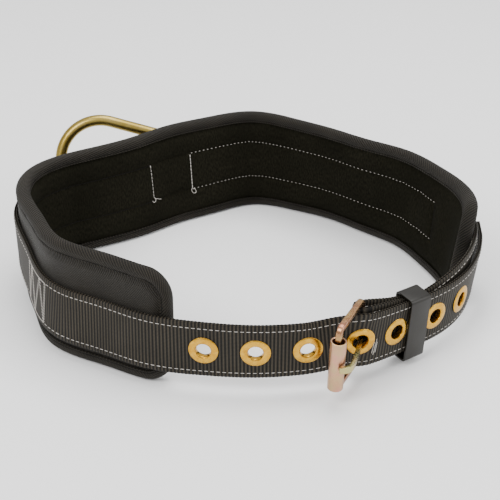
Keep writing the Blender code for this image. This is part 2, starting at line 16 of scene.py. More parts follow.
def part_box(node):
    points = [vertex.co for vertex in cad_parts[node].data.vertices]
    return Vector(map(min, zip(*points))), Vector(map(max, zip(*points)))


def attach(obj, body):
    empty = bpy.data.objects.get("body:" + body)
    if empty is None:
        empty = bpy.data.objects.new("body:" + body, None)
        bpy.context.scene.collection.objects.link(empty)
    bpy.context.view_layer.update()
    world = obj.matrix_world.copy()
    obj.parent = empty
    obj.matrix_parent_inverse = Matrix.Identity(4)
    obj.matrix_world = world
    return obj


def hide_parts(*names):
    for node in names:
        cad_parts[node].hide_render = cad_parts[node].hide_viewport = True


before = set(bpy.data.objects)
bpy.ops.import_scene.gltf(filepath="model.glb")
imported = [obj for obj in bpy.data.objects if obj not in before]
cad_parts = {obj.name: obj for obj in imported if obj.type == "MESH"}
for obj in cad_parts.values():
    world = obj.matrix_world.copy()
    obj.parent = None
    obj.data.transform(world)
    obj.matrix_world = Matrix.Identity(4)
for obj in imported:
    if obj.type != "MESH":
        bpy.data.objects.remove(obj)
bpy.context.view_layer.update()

MM = 0.001

# %% [markdown]
# Most steps below add a primitive, pick some of it and work on that. An operator touches all
# that is selected, so these helpers first clear the selection. Points are read and written as
# arrays, which keeps the fine cloth meshes quick.

# %% Helpers for picking and moving


def pick(piece):
    """Makes a piece the only selected and the active object."""
    bpy.ops.object.select_all(action="DESELECT")
    piece.select_set(True)
    bpy.context.view_layer.objects.active = piece


def named(name):
    """Names the object that an operator has just added."""
    piece = bpy.context.object
    piece.name = name
    piece.data.name = name
    return piece


def add_mesh(name, points, edges, faces):
    """Adds an object whose mesh is built from points, edges and faces."""
    mesh = bpy.data.meshes.new(name)
    mesh.from_pydata(points, edges, faces)
    piece = bpy.data.objects.new(name, mesh)
    bpy.context.scene.collection.objects.link(piece)
    return piece


def add_outline(name, points):
    """Adds a closed outline, which has points and edges alone."""
    edges = [(i, (i + 1) % len(points)) for i in range(len(points))]
    return add_mesh(name, points, edges, [])


def freeze(piece):
    """Moves a piece's place, turn and scale into its points."""
    pick(piece)
    bpy.ops.object.transform_apply(location=True, rotation=True, scale=True)


def points_of(piece):
    places = np.empty(len(piece.data.vertices) * 3)
    piece.data.vertices.foreach_get("co", places)
    return places.reshape(-1, 3)


def move_points(piece, places):
    piece.data.vertices.foreach_set("co", np.ascontiguousarray(places, np.float32).ravel())
    piece.data.update()


def choose(piece, test, kind="FACE"):
    """Enters edit mode with only those faces, edges or points selected that pass the test."""
    pick(piece)
    bpy.ops.object.mode_set(mode="EDIT")
    bpy.ops.mesh.select_mode(type=kind)
    bpy.ops.mesh.select_all(action="DESELECT")
    bpy.ops.object.mode_set(mode="OBJECT")
    mesh = piece.data
    for item in {"FACE": mesh.polygons, "EDGE": mesh.edges, "VERT": mesh.vertices}[kind]:
        item.select = bool(test(item))
    bpy.ops.object.mode_set(mode="EDIT")


def leave_edit():
    bpy.ops.object.mode_set(mode="OBJECT")


def apply(piece, kind, **settings):
    """Adds a modifier, sets it and applies it at once."""
    pick(piece)
    modifier = piece.modifiers.new(kind.lower(), kind)
    for key, value in settings.items():
        setattr(modifier, key, value)
    bpy.ops.object.modifier_apply(modifier=modifier.name)


def point_outward(piece, merge=1e-6):
    """Merges doubled points and turns every face outward."""
    pick(piece)
    bpy.ops.object.mode_set(mode="EDIT")
    bpy.ops.mesh.select_all(action="SELECT")
    bpy.ops.mesh.remove_doubles(threshold=merge)
    bpy.ops.mesh.normals_make_consistent(inside=False)
    leave_edit()


def settle(piece, material, slot, *nodes, body="belt", angle=40):
    """Gives a finished piece its material, its smooth shading and the body it rides on."""
    piece.data.materials.clear()
    piece.data.materials.append(material)
    pick(piece)
    bpy.ops.object.shade_smooth_by_angle(angle=math.radians(angle))
    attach(piece, body)
    if nodes:
        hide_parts(*nodes)
    print(piece.name, len(piece.data.polygons), "faces")
    return piece


# %% [markdown]
# A worn belt isn't round. The table gives the pad's outer face as seen from above, and how far
# its top leans outward. A closed spline turns the 24 stations into one smooth loop, and `run` is
# the distance along it. Any flat point (run, out, height) can then be wrapped round the body.

# %% The base loop

LOOP = (
    # bearing deg, reach mm, lean deg
    (0, 169.5, 6.5),
    (15, 160.0, 4.0),
    (30, 154.0, 0.5),
    (45, 145.5, -3.0),
    (60, 147.5, -4.0),
    (75, 154.0, -1.5),
    (90, 163.5, 2.5),
    (105, 153.0, 5.5),
    (120, 147.5, 6.5),
    (135, 145.5, 5.5),
    (150, 160.0, 4.0),
    (165, 185.0, 2.5),
    (180, 186.5, 1.0),
    (195, 176.5, -1.5),
    (210, 173.5, -3.5),
    (225, 158.5, -3.5),
    (240, 153.0, -2.0),
    (255, 148.0, 0.5),
    (270, 147.5, 2.5),
    (285, 149.0, 3.5),
    (300, 151.5, 3.5),
    (315, 154.0, 4.5),
    (330, 164.5, 6.0),
    (345, 170.5, 7.0),
)
PAD_HIGH = 90.6
SAMPLES = 7200


def closed_spline(values, position):
    """Cubic spline through the evenly spaced values of a loop."""
    count = len(values)
    system = 4 * np.eye(count) + np.roll(np.eye(count), 1, axis=1) + np.roll(np.eye(count), -1, axis=1)
    bends = np.linalg.solve(system, 6 * (np.roll(values, -1) - 2 * values + np.roll(values, 1)))
    whole = np.floor(position).astype(int)
    part = position - whole
    left = whole % count
    right = (whole + 1) % count
    straight = values[left] * (1 - part) + values[right] * part
    curved = ((1 - part) ** 3 - (1 - part)) * bends[left] + (part**3 - part) * bends[right]
    return straight + curved / 6


def trace_loop():
    table = np.array(LOOP, float)
    position = np.linspace(0, len(LOOP), SAMPLES + 1)
    bearing = 2 * np.pi * position / len(LOOP)
    reach = closed_spline(table[:, 1], position)
    lean = np.radians(closed_spline(table[:, 2], position))
    places = np.column_stack((reach * np.cos(bearing), reach * np.sin(bearing)))
    steps = np.linalg.norm(np.diff(places, axis=0), axis=1)
    return np.append(0, np.cumsum(steps)), places, lean


LOOP_RUN, LOOP_PLACES, LOOP_LEAN = trace_loop()
LOOP_LENGTH = LOOP_RUN[-1]
print("loop length", round(LOOP_LENGTH, 1), "mm")

# %% Wrapping flat points round the body


def loop_place(run):
    turned = np.mod(run, LOOP_LENGTH)
    across = np.interp(turned, LOOP_RUN, LOOP_PLACES[:, 0])
    back = np.interp(turned, LOOP_RUN, LOOP_PLACES[:, 1])
    return np.column_stack((across, back))


def loop_directions(run):
    along = loop_place(run + 0.5) - loop_place(run - 0.5)
    along /= np.linalg.norm(along, axis=1)[:, None]
    outward = np.column_stack((along[:, 1], -along[:, 0]))
    return along, outward, np.interp(np.mod(run, LOOP_LENGTH), LOOP_RUN, LOOP_LEAN)


def wrap(belt):
    """Places in millimetres for rows of run, out and height."""
    run, out, height = np.asarray(belt, float).T
    along, outward, lean = loop_directions(run)
    reach = out + lean * (height - PAD_HIGH / 2)
    return np.column_stack((loop_place(run) + outward * reach[:, None], height))


def rigid_frame(run, out, height):
    """The matrix of a stiff piece: x back along the run, y outward, z up the leaning wall."""
    origin = Vector(wrap([(run, out, height)])[0]) * MM + SHIFT
    along, outward, lean = (row[0] for row in loop_directions(np.array([float(run)])))
    back = Vector((-along[0], -along[1], 0))
    up = Vector((*(outward * math.sin(lean)), math.cos(lean)))
    axes = Matrix((back, up.cross(back), up)).transposed()
    return Matrix.Translation(origin) @ axes.to_4x4()


# %% [markdown]
# The model stands with its box centred on the origin, so the loop has to be shifted a little.
# The keeper is a stiff symmetric block, so the middle of its box tells how far.

# %% Find the shift from the keeper

KEEPER_RUN = 897.8
KEEPER_HEIGHT = 32.4
KEEPER_INNER = -6.6
KEEPER_OUTER = 11.7
SHIFT = Vector((0, 0, 0))
keeper_low, keeper_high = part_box("strap_keeper")
keeper_plain = rigid_frame(KEEPER_RUN, 0, KEEPER_HEIGHT)
keeper_middle = keeper_plain @ Vector((0, (KEEPER_INNER + KEEPER_OUTER) / 2 * MM, 0))
SHIFT = (keeper_low + keeper_high) / 2 - keeper_middle
SHIFT.z = 0
print("shift", [round(value * 1000, 2) for value in SHIFT], "mm")

# %% [markdown]
# The strap has its own coordinates: length from its doubled end, thickness from its middle and
# side from its middle line. It folds round the buckle's bar, goes all round the pad, humps over
# the ring's bar and ends in the tail. The route repeats the model's own.

# %% The strap's route

STRAP_ON_PAD = 2.2
TAIL_OUT = 7.0
BAR_RUN = 853.2
BAR_OUT = -2.7
BAR_HEIGHT = 39.9
FOLD_RADIUS = 5.0
DOUBLED_OUT = -2.6
DOUBLED_END = 903.0
EASING = 5.0
RING_RUN = 347.0
RING_HEIGHT = 47.7
RING_OUT = 5.4
RING_WIRE = 4.9
RING_SLANT = math.radians(26)
RIDGE_HALF = 17.5
RIDGE_FLAT = 2.0
RIDGE_CLEARANCE = 1.5
STRAP_WIDE = 44.45
STRAP_THICK = 3.4

STRAP_WAY = (
    # run mm, out mm, height mm
    (BAR_RUN, BAR_OUT + FOLD_RADIUS, BAR_HEIGHT),
    (866, STRAP_ON_PAD, 38.5),
    (888, STRAP_ON_PAD, 34.8),
    (908, STRAP_ON_PAD, 34.8),
    (935, STRAP_ON_PAD, 41.0),
    (960, STRAP_ON_PAD, 45.0),
    (1000, STRAP_ON_PAD, 47.0),
    (1540, STRAP_ON_PAD, 47.0),
    (1625, STRAP_ON_PAD, 38.0),
    (1645, STRAP_ON_PAD, 36.0),
    (1740, STRAP_ON_PAD, 35.8),
    (1835, STRAP_ON_PAD, 36.0),
    (1852, 3.2, 38.2),
    (1862, 4.7, 38.6),
    (1869, 6.2, 38.4),
    (1874, TAIL_OUT + 0.3, 37.3),
    (1880, TAIL_OUT + 0.3, 36.6),
    (1888, TAIL_OUT, 35.9),
    (1911, TAIL_OUT, 34.8),
    (1960, TAIL_OUT, 35.0),
    (2001, TAIL_OUT + 0.2, 35.2),
    (2020, TAIL_OUT + 1.0, 35.4),
    (2042, TAIL_OUT + 3.6, 35.5),
    (2057, TAIL_OUT + 8.0, 35.5),
)
DOUBLED_WAY = (
    # run mm, out mm
    (BAR_RUN, BAR_OUT - FOLD_RADIUS),
    (858.2, BAR_OUT - FOLD_RADIUS),
    (878, DOUBLED_OUT),
    (DOUBLED_END, DOUBLED_OUT),
)


def eased(table, column, run):
    rows = np.array(table, float)
    spread = np.linspace(-EASING, EASING, 11)
    return np.interp(run[:, None] + spread, rows[:, 0], rows[:, column]).mean(axis=1)


def ridge(run):
    """How far the strap stands out where the ring's bar lies under it."""
    rise = RING_OUT + RING_WIRE + RIDGE_CLEARANCE + STRAP_THICK / 2 - STRAP_ON_PAD
    away = np.abs(run - RING_RUN - LOOP_LENGTH) - RIDGE_FLAT
    return rise * (1 + np.cos(np.pi * np.clip(away / (RIDGE_HALF - RIDGE_FLAT), 0, 1))) / 2


def trace_strap():
    back_run = np.arange(DOUBLED_END, BAR_RUN, -0.5)
    back = np.column_stack(
        (back_run, eased(DOUBLED_WAY, 1, back_run), eased(STRAP_WAY, 2, back_run))
    )
    turn = np.radians(np.arange(-90, 90, 5))
    fold_run = BAR_RUN - FOLD_RADIUS * np.cos(turn)
    fold_out = BAR_OUT + FOLD_RADIUS * np.sin(turn)
    fold = np.column_stack((fold_run, fold_out, np.full(len(turn), BAR_HEIGHT)))
    main_run = np.arange(BAR_RUN, STRAP_WAY[-1][0] + 0.1, 0.5)
    out = eased(STRAP_WAY, 1, main_run) + ridge(main_run)
    main = np.column_stack((main_run, out, eased(STRAP_WAY, 2, main_run)))
    line = np.vstack((back, fold, main))
    steps = np.linalg.norm(np.diff(line, axis=0), axis=1)
    return np.column_stack((np.append(0, np.cumsum(steps)), line))


STRAP_LINE = trace_strap()
STRAP_LENGTH = STRAP_LINE[-1, 0]
FOLD_ROWS = np.nonzero(STRAP_LINE[:, 1] < BAR_RUN - 0.01)[0]
FOLD_FROM = STRAP_LINE[FOLD_ROWS[0], 0]
MAIN_FROM = FOLD_FROM + math.pi * FOLD_RADIUS
print("strap length", round(STRAP_LENGTH, 1), "mm")

# %% Wrapping the strap


def strap_at(length):
    columns = [np.interp(length, STRAP_LINE[:, 0], STRAP_LINE[:, i]) for i in (1, 2, 3)]
    return np.column_stack(columns)


def strap_length_at(run):
    """Length from the doubled end to a run on the strap's outer layer."""
    main = STRAP_LINE[STRAP_LINE[:, 0] >= MAIN_FROM]
    return float(np.interp(run, main[:, 1], main[:, 0]))


def slanted_at(length, side):
    """The strap's line with its hump turned to lie along the slanted bar."""
    line = strap_at(length)
    run = line[:, 0]
    above = line[:, 2] + side - RING_HEIGHT
    line[:, 1] += ridge(run + above * math.tan(RING_SLANT)) - ridge(run)
    return line


def wrap_strap(flat):
    """Places in millimetres for rows of length, thickness and side."""
    length, thick, side = np.asarray(flat, float).T
    ahead = slanted_at(length + 0.5, side) - slanted_at(length - 0.5, side)
    ahead /= np.linalg.norm(ahead, axis=1)[:, None]
    up = np.array([0, 0, 1]) - ahead * ahead[:, 2:]
    up /= np.linalg.norm(up, axis=1)[:, None]
    face = np.cross(up, ahead)
    return wrap(slanted_at(length, side) + up * side[:, None] + face * thick[:, None])


def put_on(piece, wrapping):
    """Wraps a flat piece, whose points are in millimetres, and brings it to metres."""
    move_points(piece, wrapping(points_of(piece)) * MM + np.array(SHIFT))


def cloth_map(piece, flat):
    """Keeps flat lengths and sides as a UV map in metres, for weaves that follow the cloth."""
    corners = np.empty(len(piece.data.loops), int)
    piece.data.loops.foreach_get("vertex_index", corners)
    layer = piece.data.uv_layers.new(name="cloth")
    layer.data.foreach_set("uv", (flat * MM)[corners].ravel())


# %% [markdown]
# The camera stands in front of the belt and looks down on it at 28 degrees, as in the picture.
# The shift keeps the belt where it stands in the frame. A pale floor and large soft
# lamps give the plain studio look that suits black cloth.

# %% Camera, floor and light

CAMERA_DISTANCE = 0.975
CAMERA_ELEVATION = math.radians(28.33)
CAMERA_AIM = Vector((SHIFT.x, SHIFT.y, 0.045))
SENSOR_WIDE = 36
PICTURE_PIXELS = 500
FOCAL_PIXELS = 1206
LENS_SHIFT = (-0.0048, -0.0208)
back_off = Vector((0, -math.cos(CAMERA_ELEVATION), math.sin(CAMERA_ELEVATION)))
camera_place = CAMERA_AIM + back_off * CAMERA_DISTANCE
bpy.ops.object.camera_add(location=camera_place, rotation=(math.pi / 2 - CAMERA_ELEVATION, 0, 0))
camera = bpy.context.object
camera.name = "portrait_camera"
camera.data.sensor_width = SENSOR_WIDE
camera.data.lens = SENSOR_WIDE * FOCAL_PIXELS / PICTURE_PIXELS
camera.data.shift_x, camera.data.shift_y = LENS_SHIFT
bpy.context.scene.camera = camera

bpy.ops.mesh.primitive_plane_add(size=30, location=(0, 0, -0.0005))
floor = named("pale_floor")
floor_paint = bpy.data.materials.new("pale_floor")
floor_paint.use_nodes = True
floor_shader = floor_paint.node_tree.nodes["Principled BSDF"]
floor_shader.inputs["Base Color"].default_value = (0.93, 0.93, 0.93, 1)
floor_shader.inputs["Roughness"].default_value = 0.9
floor.data.materials.append(floor_paint)

world = bpy.data.worlds.new("studio")
bpy.context.scene.world = world
world.use_nodes = True
world.node_tree.nodes["Background"].inputs["Color"].default_value = (1, 1, 1, 1)
world.node_tree.nodes["Background"].inputs["Strength"].default_value = 1.0

LAMPS = (
    # name, place m, size m, power W
    ("key_lamp", (-0.9, -1.1, 1.5), 0.9, 26),
    ("top_lamp", (0.2, 0.3, 1.7), 1.2, 22),
    ("side_lamp", (1.4, -0.5, 0.9), 0.8, 12),
)
for name, place, size, power in LAMPS:
    bpy.ops.object.light_add(type="AREA", location=place)
    lamp = bpy.context.object
    lamp.name = name
    lamp.data.size = size
    lamp.data.energy = power
    lamp.rotation_euler = (-Vector(place)).to_track_quat("-Z", "Y").to_euler()
print("camera at", [round(value, 3) for value in camera_place])

# %% [markdown]
# Cloth looks like cloth when its threads show at the right size. A weave is a regular ripple, so
# the material multiplies the flat map by a pitch and takes the sine. The ripple also sets the
# colour, near black in the grooves and lighter on the crests: painted shade and painted light.
# Slow noise makes the tone uneven, as dye and wear do. The same few helpers serve every cloth
# and every metal.

# %% Helpers for materials


def start_material(name, roughness, metallic=0.0, **sockets):
    """A new Principled material. Sockets that are the same all over are set directly."""
    material = bpy.data.materials.new(name)
    material.use_nodes = True
    shader = material.node_tree.nodes["Principled BSDF"]
    shader.inputs["Roughness"].default_value = roughness
    shader.inputs["Metallic"].default_value = metallic
    for socket, value in sockets.items():
        shader.inputs[socket.replace("_", " ")].default_value = value
    return material, shader


def node(material, kind, **inputs):
    """Adds a node. Inputs go by name, or by place as i0 and i1, and are values or outputs."""
    made = material.node_tree.nodes.new(kind)
    for key, value in inputs.items():
        place = int(key[1:]) if key[0] == "i" and key[1:].isdigit() else key.replace("_", " ")
        if isinstance(value, bpy.types.NodeSocket):
            material.node_tree.links.new(value, made.inputs[place])
        else:
            made.inputs[place].default_value = value
    return made


def maths(material, operation, first, second=0.0):
    made = node(material, "ShaderNodeMath", i0=first, i1=second)
    made.operation = operation
    return made.outputs[0]


def times(material, first, second):
    return maths(material, "MULTIPLY", first, second)


def flat_axes(material):
    """The flat map's length and side, in metres."""
    source = node(material, "ShaderNodeUVMap")
    source.uv_map = "cloth"
    split = node(material, "ShaderNodeSeparateXYZ", Vector=source.outputs[0])
    return source.outputs[0], split.outputs[0], split.outputs[1]


def ripple(material, along, pitch):
    """A wave from 0 to 1 that repeats every pitch, in millimetres."""
    phase = times(material, along, 2 * math.pi / (pitch * MM))
    wave = maths(material, "SINE", phase)
    return maths(material, "ADD", times(material, wave, 0.5), 0.5)


def noise(material, vector, scale, detail=3.0):
    made = node(material, "ShaderNodeTexNoise", Vector=vector, Scale=scale, Detail=detail)
    return made.outputs["Fac"]


def blend_colours(material, amount, dark, light):
    made = material.node_tree.nodes.new("ShaderNodeMix")
    made.data_type = "RGBA"
    for socket, value in ((0, amount), (6, dark), (7, light)):
        if isinstance(value, bpy.types.NodeSocket):
            material.node_tree.links.new(value, made.inputs[socket])
        else:
            made.inputs[socket].default_value = value if socket == 0 else (*value, 1)
    return made.outputs[2]


def stretch(material, value, low, high, new_low=0.0, new_high=1.0):
    ends = {"From_Min": low, "From_Max": high, "To_Min": new_low, "To_Max": new_high}
    return node(material, "ShaderNodeMapRange", Value=value, **ends).outputs["Result"]


def finish_surface(material, shader, colour, height, distance, strength):
    """Joins the colour and the bump to the shader, and gives the finished material."""
    material.node_tree.links.new(colour, shader.inputs["Base Color"])
    bump = node(material, "ShaderNodeBump", Height=height, Distance=distance, Strength=strength)
    material.node_tree.links.new(bump.outputs[0], shader.inputs["Normal"])
    return material


# %% [markdown]
# The pad is foam between two cloths. Its outer cloth is a smooth nylon twill with a diagonal
# line, and its lining is a brushed knit, almost black, that drinks the light.

# %% Pad cloth


def twill(name, dark, light, pitch, slope, roughness):
    """A diagonal weave: ripples across the diagonal, crossed by the finer weft. Its colour is painted dark
    in the grooves and light on the crests, as painted shade and painted light.
    """
    material, shader = start_material(
        name, roughness, Sheen_Weight=0.02, Sheen_Roughness=0.35, Specular_IOR_Level=0.2
    )
    flat, length, side = flat_axes(material)
    slanted = maths(material, "ADD", length, times(material, side, slope))
    rib = ripple(material, slanted, pitch)
    weft = ripple(material, side, pitch * 0.45)
    patches = stretch(material, noise(material, flat, 35.0), 0.3, 0.7, 0.65, 1.0)
    fuzz = stretch(material, noise(material, flat, 1800.0), 0.35, 0.65)
    strong = times(material, rib, 0.8)
    weave = maths(material, "ADD", strong, times(material, weft, 0.2))
    worn = stretch(material, fuzz, 0, 1, 0.6, 1.0)
    # The weave makes the grooves near black and the crests lighter: painted shade and painted light.
    # Patches and worn are random tone.
    tone = times(material, times(material, weave, patches), worn)
    colour = blend_colours(material, tone, dark, light)
    return finish_surface(material, shader, colour, weave, 0.0009, 1.0)


def brushed_lining():
    material, shader = start_material("brushed_lining", 0.95, Specular_IOR_Level=0.05)
    flat = flat_axes(material)[0]
    streaks = node(material, "ShaderNodeMapping", Vector=flat, Scale=(1.0, 0.35, 1.0))
    nap = noise(material, streaks.outputs[0], 900.0, 4.0)
    clouds = noise(material, flat, 18.0)
    shade = stretch(material, clouds, 0.3, 0.7, 0.4, 1.0)
    tone = times(material, stretch(material, nap, 0.3, 0.7), shade)
    colour = blend_colours(material, tone, (0.0036, 0.0034, 0.0019), (0.0155, 0.0145, 0.0090))
    return finish_surface(material, shader, colour, nap, 0.0003, 0.6)


# Each twill's near-black colour is painted shade in the weave's grooves, and its light colour is painted
# light on the crests.
pad_twill = twill("pad_twill", (0.0006, 0.0005, 0.0003), (0.044, 0.0365, 0.0255), 1.8, 0.8, 0.5)
tape_twill = twill("tape_twill", (0.0006, 0.0005, 0.0003), (0.040, 0.0330, 0.0225), 2.7, -1.2, 0.7)
lining = brushed_lining()
print("cloths", pad_twill.name, tape_twill.name, lining.name)

# %% [markdown]
# The pad starts as a flat grid, like a cut panel. Its end corners are rounded by pulling the
# rows in, Solidify gives it the foam's thickness, and then each face is shaped by a formula: it
# sinks under the tape, dips along every sewn row and swells softly between them.

# %% The pad's own shape

PAD_THICK = 11.0
PAD_START = -41.2
PAD_END = 714.0
PAD_CORNER = 22.0
TAPE_LEG = 8.0
TAPE_SINK = 2.0
HIDDEN_EDGE = 4.5
CHANNEL = (36.0, 638.0, 29.5, 63.0)
CROSS_SEAMS = (313.5, 357.5)
CROSS_LOW = 28.0
CROSS_HIGH = 64.0
FOLDS = (
    # run mm, spread mm, depth mm
    (250.0, 5.0, 0.9),
    (262.0, 4.0, 0.5),
    (56.0, 4.0, 0.8),
    (68.0, 3.0, 0.6),
    (80.0, 5.0, 0.9),
    (30.0, 5.0, 0.7),
    (172.0, 6.0, 0.5),
    (430.0, 6.0, 0.6),
    (470.0, 7.0, 0.5),
)


def smooth_step(value):
    value = np.clip(value, 0, 1)
    return value * value * (3 - 2 * value)


def box_depth(run, height, left, right, low, high, corner):
    """How deep a point lies inside a rectangle with round corners."""
    across = np.abs(run - (left + right) / 2) - (right - left) / 2 + corner
    up = np.abs(height - (low + high) / 2) - (high - low) / 2 + corner
    outside = np.hypot(np.maximum(across, 0), np.maximum(up, 0))
    return corner - outside - np.minimum(np.maximum(across, up), 0)


def tape_depth(run, height):
    return box_depth(run, height, PAD_START, PAD_END, 0, PAD_HIGH, PAD_CORNER)


def tape_sink(depth):
    """How far a face of the pad is pressed in under the tape."""
    return TAPE_SINK * (1 - smooth_step((depth - TAPE_LEG + 1.5) / 8))


def pad_outer(run, height):
    """Where the outer cloth lies: sunk under the tape, full in the middle."""
    depth = tape_depth(run, height)
    sway = 0.25 * np.sin(run / 23) * np.sin(height / 17 + 1) * smooth_step((depth - 10) / 10)
    return -tape_sink(depth) - 0.15 + 0.4 * sway


def seam_distance(run, height):
    """Distance to the nearest sewn row of the lining."""
    channel = np.abs(box_depth(run, height, *CHANNEL, 0.5))
    inside = (height > CROSS_LOW - 1) & (height < CROSS_HIGH + 1)
    for seam in CROSS_SEAMS:
        channel = np.where(inside, np.minimum(channel, np.abs(run - seam)), channel)
    return channel


def pad_inner(run, height):
    """Where the lining lies: dips at the seams, swelling and folds between them."""
    depth = tape_depth(run, height)
    seam = seam_distance(run, height)
    dip = 1.5 * np.exp(-((seam / 2.0) ** 2))
    swell = 0.9 * smooth_step(seam / 12) * smooth_step((depth - 8) / 12)
    crease = np.zeros_like(run)
    for middle, spread, deep in FOLDS:
        bowed = run - middle - 2.5 * np.sin(height / 30)
        crease += deep * np.exp(-((bowed / spread) ** 2)) * (0.4 + 0.6 * np.sin(np.pi * height / PAD_HIGH))
    ripples = 0.22 * np.sin(run / 7.5 + 1.5 * np.sin(height / 20)) * smooth_step((depth - 9) / 8)
    return -PAD_THICK + tape_sink(depth) + dip - swell + crease + ripples


print("lining at the middle", round(float(pad_inner(np.array([200.0]), np.array([45.0]))[0]), 2), "mm")

# %% Model the pad

PAD_STEP = 2.3
PAD_ROWS = 56


def corner_loss(from_end, corner):
    """How much a round corner takes off half the width at a distance from the end."""
    return corner - np.sqrt(np.maximum(corner**2 - np.maximum(corner - from_end, 0) ** 2, 0))


def rounded_panel(piece, start, end, low, high, corner):
    """Lays the unit grid out as a flat panel with round corners, in run and height."""
    share = points_of(piece)[:, :2] + 0.5
    length = (end - start) * share[:, 0]
    from_end = np.minimum(length, end - start - length)
    near = from_end < corner
    eased_end = corner * (1 - np.cos(np.clip(from_end / corner, 0, 1) * np.pi / 2))
    from_end = np.where(near, eased_end, from_end)
    run = np.where(share[:, 0] < 0.5, start + from_end, end - from_end)
    half = (high - low) / 2 - corner_loss(from_end, corner)
    height = (low + high) / 2 + (2 * share[:, 1] - 1) * half
    move_points(piece, np.column_stack((run, np.full(len(run), -PAD_THICK / 2), height)))


columns = round((PAD_END - PAD_START) / PAD_STEP)
bpy.ops.mesh.primitive_grid_add(x_subdivisions=columns, y_subdivisions=PAD_ROWS, size=1)
pad = named("padded_panel")
rounded_panel(
    pad,
    PAD_START + HIDDEN_EDGE,
    PAD_END - HIDDEN_EDGE,
    HIDDEN_EDGE,
    PAD_HIGH - HIDDEN_EDGE,
    PAD_CORNER - HIDDEN_EDGE,
)
apply(pad, "SOLIDIFY", thickness=PAD_THICK, offset=0)
flat = points_of(pad)
outside = flat[:, 1] > -PAD_THICK / 2
flat[:, 1] = np.where(outside, pad_outer(flat[:, 0], flat[:, 2]), pad_inner(flat[:, 0], flat[:, 2]))
move_points(pad, flat)
cloth_map(pad, points_of(pad)[:, (0, 2)])
sides = [outside[face.vertices[0]] and outside[face.vertices[2]] for face in pad.data.polygons]
put_on(pad, wrap)
point_outward(pad)
settle(pad, lining, "pad_cloth", "back_pad")
pad.data.materials.append(pad_twill)
for face, shows_twill in zip(pad.data.polygons, sides):
    face.material_index = int(shows_twill)

# %% [markdown]
# The tape is a folded strip that wraps the pad's whole edge. In section it is a narrow U. A grid
# has one side laid along the pad's outline and the other along that U, and Solidify makes it a
# real wall of cloth. A sewn row pulls both legs in.

# %% Model the edge tape

TAPE_WALL = 1.1
TAPE_ROUND = 3.6
TAPE_SEAM = 6.6
TAPE_FLAT = 24
TAPE_STEP = 2.6
straight_long = PAD_END - PAD_START - 2 * PAD_CORNER
straight_high = PAD_HIGH - 2 * PAD_CORNER
quarter = math.pi / 2 * PAD_CORNER
outline_length = 2 * (straight_long + straight_high) + 4 * quarter


def outline_at(distance):
    """Points on the pad's outline, and the direction into the pad, at distances round it."""
    distance = np.mod(distance, outline_length)
    corners = (
        (PAD_END - PAD_CORNER, PAD_CORNER, -90, straight_long),
        (PAD_END - PAD_CORNER, PAD_HIGH - PAD_CORNER, 0, straight_high),
        (PAD_START + PAD_CORNER, PAD_HIGH - PAD_CORNER, 90, straight_long),
        (PAD_START + PAD_CORNER, PAD_CORNER, 180, straight_high),
    )
    place = np.zeros((len(distance), 2))
    inward = np.zeros((len(distance), 2))
    start = 0.0
    for run, height, angle, straight in corners:
        turn = np.radians(angle)
        radial = np.array([np.cos(turn), np.sin(turn)])
        ahead = np.array([-np.sin(turn), np.cos(turn)])
        here = (distance >= start) & (distance < start + straight)
        back = (start + straight - distance[here])[:, None]
        place[here] = np.array([run, height]) + radial * PAD_CORNER - ahead * back
        inward[here] = -radial
        start += straight
        here = (distance >= start) & (distance < start + quarter)
        bend = turn + (distance[here] - start) / PAD_CORNER
        around = np.column_stack((np.cos(bend), np.sin(bend)))
        place[here] = np.array([run, height]) + around * PAD_CORNER
        inward[here] = -around
        start += quarter
    return place, inward


def tape_section(share):
    """Depth and out of the folded tape, from its outer leg's edge to its inner leg's edge."""
    leg = TAPE_LEG - TAPE_ROUND
    half = PAD_THICK / 2
    bend = math.pi / 2 * (TAPE_ROUND + half)
    total = 2 * leg + bend
    along = share * total
    angle = np.clip((along - leg) / bend, 0, 1) * math.pi
    depth = TAPE_ROUND * (1 - np.sin(angle))
    depth = np.where(along < leg, TAPE_LEG - along, depth)
    depth = np.where(along > leg + bend, TAPE_LEG - (total - along), depth)
    out = -half + half * np.cos(angle)
    pulled = 0.55 * np.exp(-(((depth - TAPE_SEAM) / 1.1) ** 2)) - 0.15
    return depth, out - np.sign(out + half) * pulled


columns = round(outline_length / TAPE_STEP)
bpy.ops.mesh.primitive_grid_add(x_subdivisions=columns, y_subdivisions=22, size=1)
tape = named("folded_edge_tape")
share = points_of(tape)[:, :2] + 0.5
edge, inward = outline_at(share[:, 0] * (outline_length - 1e-6))
depth, out = tape_section(share[:, 1])
pucker = 0.12 * np.sin(share[:, 0] * outline_length / 4.1) * np.exp(-(((depth - TAPE_SEAM) / 2) ** 2))
rows = edge + inward * depth[:, None]
move_points(tape, np.column_stack((rows[:, 0], out + pucker, rows[:, 1])))
cloth_map(tape, share * (outline_length, TAPE_FLAT))
pick(tape)
bpy.ops.object.mode_set(mode="EDIT")
bpy.ops.mesh.select_all(action="SELECT")
bpy.ops.mesh.remove_doubles(threshold=0.01)
leave_edit()
apply(tape, "SOLIDIFY", thickness=TAPE_WALL, offset=-1)
measured = points_of(tape)
print("tape out from", round(measured[:, 1].min(), 2), "to", round(measured[:, 1].max(), 2))
put_on(tape, wrap)
point_outward(tape)
settle(tape, tape_twill, "edge_tape", "edge_binding")

# %% [markdown]
# Webbing has strong ribs across its width, about 2.6 mm apart, and each rib is a row of small
# beads of yarn. The ribs are real geometry, because they show in the strap's outline, and the
# beads are left to the bump. The colour is painted near black in the grooves between ribs and
# beads and lighter on their crests, which is painted shade and painted light. The strap is two
# plies sewn together.

# %% Webbing

RIB_PITCH = 2.6


